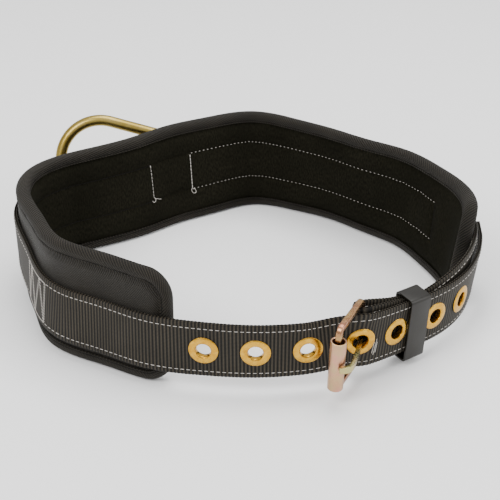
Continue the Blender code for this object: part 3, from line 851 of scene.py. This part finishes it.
def ribbed_webbing():
    material, shader = start_material(
        "ribbed_webbing", 0.6, Sheen_Weight=0.02, Sheen_Roughness=0.35, Specular_IOR_Level=0.18
    )
    flat, length, side = flat_axes(material)
    rib = ripple(material, maths(material, "ADD", length, 0.25 * RIB_PITCH * MM), RIB_PITCH)
    beads = ripple(material, side, 1.15)
    uneven = stretch(material, noise(material, flat, 30.0), 0.3, 0.7, 0.7, 1.0)
    fuzz = stretch(material, noise(material, flat, 2200.0), 0.3, 0.7, 0.7, 1.0)
    # Grain darkens the gaps between the yarn beads, and the rib's power darkens the grooves between ribs:
    # painted shade.
    grain = stretch(material, beads, 0, 1, 0.55, 1.0)
    tone = times(material, maths(material, "POWER", rib, 1.5), grain)
    tone = times(material, tone, times(material, uneven, fuzz))
    # Near black in the grooves and light on the crests: painted shade and painted light over the webbing's
    # own dark tone.
    colour = blend_colours(material, tone, (0.0013, 0.0010, 0.0006), (0.078, 0.0645, 0.0450))
    height = maths(material, "ADD", rib, times(material, beads, 0.5))
    return finish_surface(material, shader, colour, height, 0.00025, 0.9)


webbing = ribbed_webbing()
print("webbing ribs every", RIB_PITCH, "mm")

# %% Model the strap's two plies

GROMMET_HOLE = 5.5
GROMMET_SEAT = 0.25
CUT_RADIUS = 7.6
STRAP_TIP_CORNER = 9.0
SLOT_WIDE = 9.0
SLOT_EXTRA = 6.5
TONGUE_SIDE = -2.4
PLY = STRAP_THICK / 2 - 0.05
RIB_HIGH = 0.16
STEPS_PER_RIB = 4
EDGE_ROUND = 1.2
EDGE_BAND = 3
EDGE_SCALLOP = 0.012
GROMMET_PRESS = 0.2
PRESS_REACH = 12.0
STRAP_GROMMETS = (738.0, 774.5, 811.0)
TAIL_GROMMETS = (848.0, 878.8, 916.5, 947.0)
GROMMET_LENGTHS = [strap_length_at(run + LOOP_LENGTH) for run in STRAP_GROMMETS + TAIL_GROMMETS]
SIDES = (0, 0.03, 0.09, 0.2, 0.32, 0.44, 0.5, 0.56, 0.68, 0.8, 0.91, 0.97, 1)


def inside_cut(length, side):
    """True where the tongue's slot or a grommet's hole goes through the strap."""
    slot = (length > FOLD_FROM - SLOT_EXTRA) & (length < MAIN_FROM + SLOT_EXTRA)
    slot &= np.abs(side - TONGUE_SIDE) < SLOT_WIDE / 2
    for middle in GROMMET_LENGTHS:
        slot |= np.hypot(length - middle, side) < CUT_RADIUS
    return slot


def make_ply(name, sign):
    """One ply, from sign -1 on the pad's side to sign 1 outside, flat first and then wrapped."""
    lengths = round(STRAP_LENGTH / RIB_PITCH * STEPS_PER_RIB)
    bpy.ops.mesh.primitive_grid_add(x_subdivisions=lengths, y_subdivisions=len(SIDES) - 1, size=1)
    ply = named(name)
    share = points_of(ply)[:, :2] + 0.5
    length = share[:, 0] * STRAP_LENGTH
    half = STRAP_WIDE / 2 - corner_loss(STRAP_LENGTH - length, STRAP_TIP_CORNER)
    place = np.interp(share[:, 1], np.linspace(0, 1, len(SIDES)), SIDES)
    side = (2 * place - 1) * half
    move_points(ply, np.column_stack((length, np.zeros(len(length)), side)))
    centres = np.empty(len(ply.data.polygons) * 3)
    ply.data.polygons.foreach_get("center", centres)
    centres = centres.reshape(-1, 3)
    cut = inside_cut(centres[:, 0], centres[:, 2])
    choose(ply, lambda face: cut[face.index])
    bpy.ops.mesh.delete(type="FACE")
    leave_edit()
    apply(ply, "SOLIDIFY", thickness=PLY, offset=0)
    flat = points_of(ply)
    cloth_map(ply, flat[:, (0, 2)])
    margin = STRAP_WIDE / 2 - np.abs(flat[:, 2])
    past_round = (EDGE_ROUND - np.minimum(margin, EDGE_ROUND)) / EDGE_ROUND
    rounding = np.sqrt(np.clip(1 - past_round**2, 0.1, 1))
    away = [np.hypot(flat[:, 0] - middle, flat[:, 2]) for middle in GROMMET_LENGTHS]
    pressed = np.clip(PRESS_REACH - np.min(away, axis=0), 0, 1)
    rib = (np.abs(np.sin(np.pi * flat[:, 0] / RIB_PITCH)) - 1.0) * (1 - pressed)
    flat[:, 1] = flat[:, 1] * rounding
    visible = np.sign(flat[:, 1]) == sign
    raised = RIB_HIGH * rib - GROMMET_PRESS * pressed
    flat[:, 1] += np.where(visible, sign * raised, 0) + sign * STRAP_THICK / 4
    flat[:, 2] *= 1 + EDGE_SCALLOP * rib * (margin < EDGE_BAND)
    move_points(ply, flat)
    put_on(ply, wrap_strap)
    point_outward(ply)
    return settle(ply, webbing, "strap_webbing", "belt_strap", angle=60)


outer_ply = make_ply("webbing_outer_ply", 1)
inner_ply = make_ply("webbing_inner_ply", -1)

# %% [markdown]
# Sewn rows are hundreds of small stitches. One stitch is a six-sided cylinder with tapered ends,
# and a function lays copies of it along flat lines and joins them in one mesh, which is then
# wrapped like the cloth that it holds.

# %% Thread


def sewing_thread(name, dark, light):
    material, shader = start_material(name, 0.8, Specular_IOR_Level=0.15)
    place = node(material, "ShaderNodeTexCoord").outputs["Object"]
    twist = noise(material, place, 2500.0)
    colour = blend_colours(material, stretch(material, twist, 0.3, 0.7), dark, light)
    return finish_surface(material, shader, colour, twist, 0.0001, 0.6)


white_thread = sewing_thread("white_thread", (0.28, 0.265, 0.24), (0.68, 0.645, 0.60))
# The dark thread is near black, darker than the cloth it is sewn into: real thread that also carries the
# painted shade of its sewn groove.
dark_thread_and_groove_shade = sewing_thread("dark_thread_and_groove_shade", (0.0015, 0.0013, 0.0009), (0.006, 0.0052, 0.0038))

bpy.ops.mesh.primitive_cylinder_add(vertices=6, radius=0.5, depth=1, rotation=(0, math.pi / 2, 0))
bead = named("stitch_pattern")
freeze(bead)
choose(bead, lambda face: abs(face.normal.x) > 0.9)
bpy.ops.mesh.inset(thickness=0.22, depth=0)
bpy.ops.transform.resize(value=(1.25, 1, 1), center_override=(0, 0, 0))
leave_edit()
BEAD_POINTS = points_of(bead)
BEAD_FACES = [tuple(face.vertices) for face in bead.data.polygons]
bpy.data.objects.remove(bead, do_unlink=True)
print("a stitch has", len(BEAD_FACES), "faces")


def stitches(name, starts, ends, thick, rise, wrapping, material):
    """Lays one stitch from each start to each end, rows of length, level and side in mm."""
    ahead = ends - starts
    long = np.linalg.norm(ahead, axis=1)[:, None]
    ahead /= long
    level = np.tile((0.0, 1.0, 0.0), (len(starts), 1))
    across = np.cross(ahead, level)
    across /= np.linalg.norm(across, axis=1)[:, None]
    level = np.cross(across, ahead)
    middle = (starts + ends) / 2
    x, y, z = (BEAD_POINTS[None, :, i, None] for i in range(3))
    places = middle[:, None] + ahead[:, None] * long[:, None] * x
    places = places + level[:, None] * rise * z * 2 + across[:, None] * thick * y
    places = wrapping(places.reshape(-1, 3)) * MM + np.array(SHIFT)
    count = len(BEAD_POINTS)
    faces = [tuple(i + count * n for i in face) for n in range(len(starts)) for face in BEAD_FACES]
    piece = add_mesh(name, places, [], faces)
    point_outward(piece)
    return settle(piece, material, None, angle=70)


# %% [markdown]
# The strap's plies are held by a row of pale dashes along each edge. Where the strap is sewn to
# the pad there is a box filled with a zigzag, and a few short threads cross it beside the buckle.

# %% Sew the strap

STITCH_PITCH = 4.3
STITCH_LONG = 2.1
ROW_SIDE = 17.7
THREAD_PROUD = 0.12
SURFACE = STRAP_THICK / 2 + THREAD_PROUD


def dashes(start, end, pitch, long):
    """Starts and ends of dashes that fill a flat line between two points (length, side)."""
    start = np.array(start, float)
    end = np.array(end, float)
    whole = np.linalg.norm(end - start)
    count = max(1, round(whole / pitch))
    ahead = (end - start) / whole
    middles = start + (end - start) * ((np.arange(count) + 0.5) / count)[:, None]
    return middles - ahead * long / 2, middles + ahead * long / 2


def gather(rows):
    """All the starts and all the ends of several rows of dashes."""
    return [np.vstack([row[end] for row in rows]) for end in (0, 1)]


def sew_strap(name, rows, level, thick, rise):
    """Sews flat dashes on one level of the strap, in pale thread."""
    starts, ends = (np.insert(flat, 1, level, axis=1) for flat in gather(rows))
    stitches(name, starts, ends, thick, rise, wrap_strap, white_thread)


edge_rows = [
    dashes((5, side), (STRAP_LENGTH - 6, side), STITCH_PITCH, STITCH_LONG)
    for side in (-ROW_SIDE, ROW_SIDE)
]
edge_rows.append(dashes((STRAP_LENGTH - 5, -12), (STRAP_LENGTH - 5, 12), STITCH_PITCH, STITCH_LONG))
sew_strap("edge_stitches_outside", edge_rows, SURFACE, thick=0.46, rise=0.24)
sew_strap("edge_stitches_inside", edge_rows, -SURFACE, thick=0.46, rise=0.24)

PACKS = ((570.0, 603.0), (72.0, 105.0))
PACK_PITCH = 2.4
PACK_LONG = 1.2
BESIDE_BOX = 1.2
BESIDE_ZIGZAG = 1.4
RING_ROWS_AWAY = 6.0
RING_ROWS_APART = 1.3


def zigzag_box(left, right, low, high, teeth):
    """A sewn box with a W zigzag inside it, as dashes."""
    corners = [(left, low), (left, high), (right, high), (right, low), (left, low)]
    lines = list(zip(corners, corners[1:]))
    beside = [(a + BESIDE_BOX, b) for a, b in corners]
    lines += list(zip(beside, beside[1:]))
    steps = [left + (right - left) * i / teeth for i in range(teeth + 1)]
    zig = [(step, high if i % 2 else low) for i, step in enumerate(steps)]
    lines += list(zip(zig, zig[1:]))
    zag = [(a + BESIDE_ZIGZAG, b) for a, b in zig]
    lines += list(zip(zag, zag[1:]))
    return [dashes(a, b, PACK_PITCH, PACK_LONG) for a, b in lines]


packs = []
for left, right in PACKS:
    near = strap_length_at(left + LOOP_LENGTH)
    far = strap_length_at(right + LOOP_LENGTH)
    packs += zigzag_box(near, far, -ROW_SIDE, ROW_SIDE, 4)
for seam in CROSS_SEAMS:
    middle = strap_length_at(seam + LOOP_LENGTH)
    aside = RING_ROWS_AWAY if seam > RING_RUN else -RING_ROWS_AWAY
    for extra in (0.0, RING_ROWS_APART):
        row = middle + aside + extra
        packs.append(dashes((row, -ROW_SIDE), (row, ROW_SIDE), 2.5, 1.5))
sew_strap("sewn_boxes", packs, SURFACE, thick=0.48, rise=0.28)

TACK_RUN = 859.5
TACK = (
    # mm along, lowest mm, highest mm, lean mm
    (-1.4, -11.5, -1.5, 0.5),
    (0.0, -13.0, -0.5, 0.9),
    (1.4, -11.0, -3.5, 0.3),
)
tack_at = strap_length_at(TACK_RUN + LOOP_LENGTH)
tack = [
    dashes((tack_at + along, low), (tack_at + along + lean, high), 5, 4.2)
    for along, low, high, lean in TACK
]
sew_strap("bar_tack", tack, SURFACE + THREAD_PROUD, thick=0.5, rise=0.25)

# %% [markdown]
# Inside, two rows of thread shape the pad's middle channel. They are pale on one half and dark
# on the other, as the photo shows. Two pale cross rows end in loose, curling thread tails.

# %% Sew the pad


def smooth_line(points, per_span):
    """A smooth line through points, by a cubic through each four neighbours."""
    rows = np.array(points, float)
    padded = np.vstack((2 * rows[0] - rows[1], rows, 2 * rows[-1] - rows[-2]))
    line = []
    for i in range(len(rows) - 1):
        a, b, c, d = padded[i : i + 4]
        for t in np.arange(per_span) / per_span:
            bow = (2 * a - 5 * b + 4 * c - d) * t**2 + (3 * b - a - 3 * c + d) * t**3
            line.append(0.5 * (2 * b + (c - a) * t + bow))
    line.append(rows[-1])
    return np.array(line)


def on_lining(flat, lift=0.15):
    """Rows of run and height, laid on the lining as rows of run, out and height."""
    return np.column_stack((flat[:, 0], pad_inner(flat[:, 0], flat[:, 1]) - lift, flat[:, 1]))


def sew_lining(name, lines, pitch, long, thick, material):
    rows = [dashes(start, end, pitch, long) for start, end in lines]
    starts, ends = (on_lining(flat) for flat in gather(rows))
    stitches(name, starts, ends, thick, rise=0.3, wrapping=wrap, material=material)


LEFT, RIGHT, LOW, HIGH = CHANNEL
FAR_SEAM, NEAR_SEAM = CROSS_SEAMS
PALE_ROWS = [((LEFT, HIGH), (FAR_SEAM, HIGH)), ((LEFT, LOW), (FAR_SEAM, LOW))]
DARK_ROWS = [
    ((NEAR_SEAM, HIGH), (RIGHT, HIGH)),
    ((NEAR_SEAM, LOW), (RIGHT, LOW)),
    ((RIGHT, LOW), (RIGHT, HIGH)),
    ((LEFT, LOW), (LEFT, HIGH)),
]
CROSS_ROWS = [((NEAR_SEAM, 33), (NEAR_SEAM, 63)), ((FAR_SEAM, 30), (FAR_SEAM, 62))]
sew_lining("pale_lining_rows", PALE_ROWS, pitch=4.0, long=1.1, thick=0.55, material=white_thread)
# The dark rows' thread is darker than the lining, which paints the shade of the sewn grooves.
sew_lining("dark_lining_rows", DARK_ROWS, pitch=3.4, long=2.6, thick=0.8, material=dark_thread_and_groove_shade)
sew_lining("pale_cross_rows", CROSS_ROWS, pitch=3.2, long=2.1, thick=0.85, material=white_thread)

TAILS = (
    # run mm and height mm of each tail's points
    ((357.5, 33), (356.2, 31), (356.4, 29), (358.2, 28.4), (359.4, 30)),
    ((357.0, 31.5), (354.6, 31.2), (352.4, 29.8), (350.2, 29.2)),
    ((313.5, 31), (314.9, 28.2), (313.4, 25.9), (311.0, 26.4), (311.2, 28.8), (313.4, 29.4)),
)
tail_lines = [smooth_line(tail, 5) for tail in TAILS]
starts, ends = (
    on_lining(flat, lift=0.5) for flat in gather([(line[:-1], line[1:]) for line in tail_lines])
)
stitches("thread_tails", starts, ends, thick=0.5, rise=0.28, wrapping=wrap, material=white_thread)
print("lining sewn with", len(PALE_ROWS) + len(DARK_ROWS) + len(CROSS_ROWS), "rows")

# %% Sew the tape

SEAM_PITCH = 3.2
SEAM_LONG = 2.3
SEAM_SUNK = 0.3
seam_count = round(outline_length / SEAM_PITCH)
seam_at = (np.arange(seam_count) + 0.5) / seam_count * outline_length


def tape_row(shift, out):
    """Points of the tape's sewn row, moved along it by a shift."""
    edge, inward = outline_at(seam_at + shift)
    return np.insert(edge + inward * TAPE_SEAM, 1, out, axis=1)


seam_rows = [
    (tape_row(-SEAM_LONG / 2, out), tape_row(SEAM_LONG / 2, out))
    for out in (-SEAM_SUNK, SEAM_SUNK - PAD_THICK)
]
starts, ends = gather(seam_rows)
# The tape seam's near-black thread also paints the shade of the groove that the row pulls in.
stitches("tape_seam", starts, ends, thick=0.7, rise=0.25, wrapping=wrap, material=dark_thread_and_groove_shade)

# %% [markdown]
# The grommets are satin brass. The steel is coloured as yellow zinc plating often is, with a tone
# that drifts between gold, green and rose. Object coordinates hold the drift to the metal, also
# when the ring swings.

# %% Plated metals


def plated(name, tones, scale, roughness, wear=0.1):
    """A metal whose tone drifts between three colours, with fine scratches in its gloss."""
    material, shader = start_material(name, roughness, metallic=1.0)
    place = node(material, "ShaderNodeTexCoord").outputs["Object"]
    drift = stretch(material, noise(material, place, scale, 2.0), 0.35, 0.65)
    second = stretch(material, noise(material, place, scale * 2.7, 2.0), 0.4, 0.7)
    base = blend_colours(material, drift, tones[0], tones[1])
    colour = blend_colours(material, times(material, second, 0.6), base, tones[2])
    grain = noise(material, place, 900.0, 5.0)
    rough = stretch(material, grain, 0.3, 0.7, roughness - wear, roughness + wear)
    material.node_tree.links.new(rough, shader.inputs["Roughness"])
    return finish_surface(material, shader, colour, grain, 0.00004, 0.5)


BRASS_TONES = ((0.58, 0.315, 0.030), (0.50, 0.25, 0.020), (0.68, 0.42, 0.07))
brass = plated("satin_brass", BRASS_TONES, 120.0, 0.27)
FRAME_TONES = ((0.42, 0.21, 0.13), (0.50, 0.36, 0.12), (0.26, 0.10, 0.06))
TONGUE_TONES = ((0.44, 0.38, 0.16), (0.50, 0.28, 0.12), (0.36, 0.38, 0.18))
ROLLER_TONES = ((0.56, 0.27, 0.21), (0.50, 0.30, 0.17), (0.46, 0.36, 0.18))
RING_TONES = ((0.36, 0.27, 0.070), (0.29, 0.20, 0.040), (0.44, 0.34, 0.13))
frame_steel = plated("yellow_zinc_frame", FRAME_TONES, 55.0, 0.25)
tongue_steel = plated("yellow_zinc_tongue", TONGUE_TONES, 70.0, 0.25)
roller_steel = plated("rose_zinc_roller", ROLLER_TONES, 60.0, 0.36)
ring_steel = plated("bronze_zinc_ring", RING_TONES, 45.0, 0.32, 0.05)
print("metals", brass.name, frame_steel.name, tongue_steel.name, roller_steel.name, ring_steel.name)

# %% [markdown]
# A grommet is a turned form: a wide domed flange, a lip that rolls into the hole, a barrel, and a
# flat washer clinched behind. Its half section is drawn once and spun round the hole's axis, and
# each copy is then bent with the strap at its own place.

# %% Spin the grommets

FACE_LEVEL = STRAP_THICK / 2 + GROMMET_SEAT
GROMMET_SECTION = (
    # radius mm, level mm
    (GROMMET_HOLE + 1.0, -FACE_LEVEL - 0.6),
    (GROMMET_HOLE + 0.3, -FACE_LEVEL - 0.35),
    (GROMMET_HOLE, -FACE_LEVEL + 0.3),
    (GROMMET_HOLE, 0.0),
    (GROMMET_HOLE, FACE_LEVEL + 0.05),
    (GROMMET_HOLE + 0.25, FACE_LEVEL + 0.6),
    (GROMMET_HOLE + 0.8, FACE_LEVEL + 0.93),
    (GROMMET_HOLE + 1.5, FACE_LEVEL + 1.0),
    (8.4, FACE_LEVEL + 0.86),
    (9.6, FACE_LEVEL + 0.62),
    (10.4, FACE_LEVEL + 0.38),
    (10.7, FACE_LEVEL + 0.15),
    (10.62, FACE_LEVEL - 0.1),
    (9.9, FACE_LEVEL - 0.05),
    (6.2, FACE_LEVEL - 0.05),
    (6.2, -FACE_LEVEL),
    (10.1, -FACE_LEVEL),
    (10.3, -FACE_LEVEL - 0.3),
    (10.0, -FACE_LEVEL - 0.55),
)


def spin_section(name, section, steps):
    """Spins a closed half section, given as radius and level, round the level axis."""
    piece = add_outline(name, [(radius, level, 0) for radius, level in section])
    choose(piece, lambda point: True, "VERT")
    bpy.ops.mesh.spin(steps=steps, angle=2 * math.pi, center=(0, 0, 0), axis=(0, 1, 0))
    leave_edit()
    point_outward(piece, merge=0.001)
    return piece


def stiff_on_strap(flat, length):
    """Places about one length of the strap, in its tangent plane and not bent with it."""
    steps = ((0, 0, 0), (0, 3, 0), (-3, 0, 0), (3, 0, 0), (0, 0, -3), (0, 0, 3))
    middle, out, behind, before, low, high = wrap_strap(np.array(steps) + (length, 0, 0))
    face = out - middle
    face /= np.linalg.norm(face)
    ahead = before - behind
    ahead -= face * (ahead @ face)
    ahead /= np.linalg.norm(ahead)
    up = high - low
    up -= face * (up @ face) + ahead * (up @ ahead)
    up /= np.linalg.norm(up)
    return middle + np.outer(flat[:, 0], ahead) + np.outer(flat[:, 1], face) + np.outer(flat[:, 2], up)


STIFFNESS = 0.6
for number, length in enumerate(GROMMET_LENGTHS, 1):
    grommet = spin_section(f"brass_grommet_{number}", GROMMET_SECTION, 56)
    flat = points_of(grommet)
    bent = wrap_strap(flat + np.array([length, 0, 0]))
    places = STIFFNESS * stiff_on_strap(flat, length) + (1 - STIFFNESS) * bent
    move_points(grommet, places * MM + np.array(SHIFT))
    point_outward(grommet)
    settle(grommet, brass, "grommet_brass", f"grommet_{number}", angle=35)

# %% [markdown]
# The buckle's frame is flat bar bent into a rectangle. A plane gets its corners rounded by a
# vertex bevel and its opening by an inset, and Solidify and Bevel make it a bar with soft edges.

# %% Model the buckle's frame

FRAME_TILT = math.radians(34.6)
FRAME_REACH = 41.0
FRAME_HALF = 26.1
FRAME_BAR = 4.4
FRAME_CORNER = 6.5


def stand_in(piece, matrix):
    """Places a stiff piece, modelled in millimetres about its own origin."""
    piece.data.transform(matrix @ Matrix.Scale(MM, 4))
    piece.data.update()


buckle_at = rigid_frame(BAR_RUN, BAR_OUT, BAR_HEIGHT)
frame_at = buckle_at @ Matrix.Rotation(FRAME_TILT, 4, "Z")
bpy.ops.mesh.primitive_plane_add(size=1, rotation=(math.pi / 2, 0, 0), location=(FRAME_REACH / 2, 0, 0))
bar = named("buckle_bar_frame")
bar.scale = (FRAME_REACH + FRAME_BAR, 2 * FRAME_HALF + FRAME_BAR, 1)
freeze(bar)
choose(bar, lambda point: True, "VERT")
bpy.ops.mesh.bevel(offset=FRAME_CORNER, segments=8, affect="VERTICES")
bpy.ops.mesh.select_mode(type="FACE")
bpy.ops.mesh.select_all(action="SELECT")
bpy.ops.mesh.inset(thickness=FRAME_BAR, depth=0)
bpy.ops.mesh.delete(type="FACE")
leave_edit()
apply(bar, "SOLIDIFY", thickness=FRAME_BAR, offset=0)
apply(bar, "BEVEL", width=0.95, segments=4, limit_method="ANGLE", angle_limit=math.radians(50))
stand_in(bar, frame_at)
point_outward(bar)
settle(bar, frame_steel, "buckle_steel", "buckle_frame", angle=50)

# %% [markdown]
# The roller is a rolled tube that turns on the front bar, and the tongue is a bent prong with an
# eye on the rear bar.

# %% Model the roller

ROLLER_RADIUS = 5.7
ROLLER_WALL = 1.2
ROLLER_LOW = -23.6
ROLLER_HIGH = 16.6
roller_inner = ROLLER_RADIUS - ROLLER_WALL
ROLLER_SECTION = (
    # radius mm, level mm
    (roller_inner, ROLLER_LOW + 0.3),
    (roller_inner + 0.3, ROLLER_LOW),
    (ROLLER_RADIUS - 0.5, ROLLER_LOW),
    (ROLLER_RADIUS - 0.12, ROLLER_LOW + 0.15),
    (ROLLER_RADIUS, ROLLER_LOW + 0.5),
    (ROLLER_RADIUS, ROLLER_HIGH - 0.5),
    (ROLLER_RADIUS - 0.12, ROLLER_HIGH - 0.15),
    (ROLLER_RADIUS - 0.5, ROLLER_HIGH),
    (roller_inner + 0.3, ROLLER_HIGH),
    (roller_inner, ROLLER_HIGH - 0.3),
)
roller = spin_section("buckle_roller_tube", ROLLER_SECTION, 64)
roller_at = frame_at @ Matrix.Translation((FRAME_REACH * MM, 0, 0))
stand_in(roller, roller_at @ Matrix.Rotation(math.pi / 2, 4, "X"))
point_outward(roller)
settle(roller, roller_steel, "roller_steel", "buckle_roller", angle=35)

# %% Model the tongue

TONGUE_WAY = (
    # mm from the bar towards the roller along the belt, mm outward from the bar
    (1.0, 4.3),
    (5.6, 9.8),
    (10.5, 15.6),
    (18.0, 23.2),
    (25.5, 30.3),
    (29.5, 32.3),
    (32.5, 32.2),
    (35.4, 31.2),
)
TONGUE_WIDE = 4.8
TONGUE_THICK = 3.0
EYE_HOLE = 3.0
EYE_WALL = 2.2


def ribbon(line, thick):
    heading = np.gradient(line, axis=0)
    heading /= np.linalg.norm(heading, axis=1)[:, None]
    side = np.column_stack((-heading[:, 1], heading[:, 0])) * thick / 2
    turn = np.radians(np.arange(-75, 90, 25))
    end = [line[-1] + heading[-1] * thick / 2 * math.cos(a) + side[-1] * math.sin(a) for a in turn]
    return [*(line - side)[:-1], *end, *(line + side)[-2::-1]]


tongue_line = smooth_line(TONGUE_WAY, 5)
tongue_low = TONGUE_SIDE - TONGUE_WIDE / 2
outline = [(along, out, tongue_low) for along, out in ribbon(tongue_line, TONGUE_THICK)]
prong = add_outline("buckle_prong", outline)
choose(prong, lambda point: True, "VERT")
bpy.ops.mesh.edge_face_add()
bpy.ops.mesh.extrude_region_move(TRANSFORM_OT_translate={"value": (0, 0, TONGUE_WIDE)})
leave_edit()
point_outward(prong)
eye_place = (0, 0, TONGUE_SIDE)
eye_steps = (
    # name, operation, radius mm, depth mm
    ("prong_eye", "UNION", EYE_HOLE + EYE_WALL, TONGUE_WIDE),
    ("prong_bore", "DIFFERENCE", EYE_HOLE, TONGUE_WIDE + 2),
)
for name, operation, radius, depth in eye_steps:
    bpy.ops.mesh.primitive_cylinder_add(vertices=40, radius=radius, depth=depth, location=eye_place)
    tool = named(name)
    bpy.context.view_layer.update()
    apply(prong, "BOOLEAN", operation=operation, object=tool, solver="EXACT")
    bpy.data.objects.remove(tool, do_unlink=True)
apply(prong, "BEVEL", width=0.6, segments=3, limit_method="ANGLE", angle_limit=math.radians(60))
stand_in(prong, buckle_at)
point_outward(prong)
settle(prong, tongue_steel, "buckle_steel", "buckle_tongue", angle=50)

# %% [markdown]
# The keeper is a dark metal strip bent into a rectangle that holds the strap's layers. A cube
# loses its two open ends, its four long edges are rounded, and Solidify gives the wall.

# %% Model the keeper

KEEPER_WIDE = 18.3
KEEPER_WALL = 1.5
KEEPER_HIGH = 54.8
KEEPER_CORNER = 3.2


def dark_enamel():
    material, shader = start_material("dark_enamel", 0.42, Specular_IOR_Level=0.35)
    place = node(material, "ShaderNodeTexCoord").outputs["Object"]
    clouds = noise(material, place, 60.0, 4.0)
    grain = noise(material, place, 1500.0, 3.0)
    mix = stretch(material, clouds, 0.3, 0.7)
    colour = blend_colours(material, mix, (0.0052, 0.0043, 0.0027), (0.0098, 0.0082, 0.0053))
    rough = stretch(material, clouds, 0.3, 0.7, 0.34, 0.5)
    material.node_tree.links.new(rough, shader.inputs["Roughness"])
    return finish_surface(material, shader, colour, grain, 0.00008, 0.5)


bpy.ops.mesh.primitive_cube_add(size=1, location=(0, (KEEPER_INNER + KEEPER_OUTER) / 2, 0))
keeper = named("bent_strip_keeper")
keeper.scale = (KEEPER_WIDE, KEEPER_OUTER - KEEPER_INNER, KEEPER_HIGH)
freeze(keeper)
choose(keeper, lambda face: abs(face.normal.x) > 0.9)
bpy.ops.mesh.delete(type="ONLY_FACE")
leave_edit()
corner_ends = [point.co.copy() for point in keeper.data.vertices]
choose(
    keeper,
    lambda edge: abs(corner_ends[edge.vertices[0]].x - corner_ends[edge.vertices[1]].x) > 1,
    "EDGE",
)
bpy.ops.mesh.bevel(offset=KEEPER_CORNER, segments=8, affect="EDGES")
leave_edit()
apply(keeper, "SOLIDIFY", thickness=KEEPER_WALL, offset=-1)
apply(keeper, "BEVEL", width=0.35, segments=3, limit_method="ANGLE", angle_limit=math.radians(50))
stand_in(keeper, rigid_frame(KEEPER_RUN, 0, KEEPER_HEIGHT))
point_outward(keeper)
settle(keeper, dark_enamel(), "keeper_metal", "strap_keeper", angle=40)

# %% [markdown]
# The D-ring is heavy wire: a straight bar under the strap's hump, two legs and a round bow. Its
# middle line is a curve with a round bevel, which is then made a mesh. It rides on its own body,
# because it swings on the bar.

# %% Model the D-ring

RING_HALF = 35.0
RING_LEG = 46.0
RING_BEND = 5.6
RING_SWING = math.radians(53)


def arc(across, up, radius, first, last, step):
    """Points of an arc about a middle, at whole degrees from the first to the last."""
    turns = [math.radians(angle) for angle in range(first, last + 1, step)]
    return [(across + radius * math.cos(turn), up + radius * math.sin(turn)) for turn in turns]


def ring_line():
    """The ring's middle line in millimetres: the bar lies on z, the bow reaches out along x."""
    inner = RING_HALF - RING_BEND
    low_bend = arc(RING_BEND, -inner, RING_BEND, 180, 270, 10)
    bow = arc(RING_LEG, 0, RING_HALF, -90, 90, 5)
    high_bend = arc(RING_BEND, inner, RING_BEND, 90, 180, 10)
    return low_bend + bow + high_bend


wire = bpy.data.curves.new("forged_d_ring", "CURVE")
wire.dimensions = "3D"
wire.bevel_depth = RING_WIRE
wire.bevel_resolution = 8
spline = wire.splines.new("POLY")
middle_line = ring_line()
spline.points.add(len(middle_line) - 1)
for point, (across, up) in zip(spline.points, middle_line):
    point.co = (across, 0, up, 1)
spline.use_cyclic_u = True
ring = bpy.data.objects.new("forged_d_ring", wire)
bpy.context.scene.collection.objects.link(ring)
pick(ring)
bpy.ops.object.convert(target="MESH")
ring = bpy.context.object
slant = Matrix.Rotation(RING_SLANT, 4, "Y")
swing = Matrix.Rotation(math.pi / 2 + RING_SWING, 4, "Z")
stand_in(ring, rigid_frame(RING_RUN, RING_OUT, RING_HEIGHT) @ slant @ swing)
point_outward(ring)
settle(ring, ring_steel, "ring_metal", "d_ring", body="d_ring", angle=60)
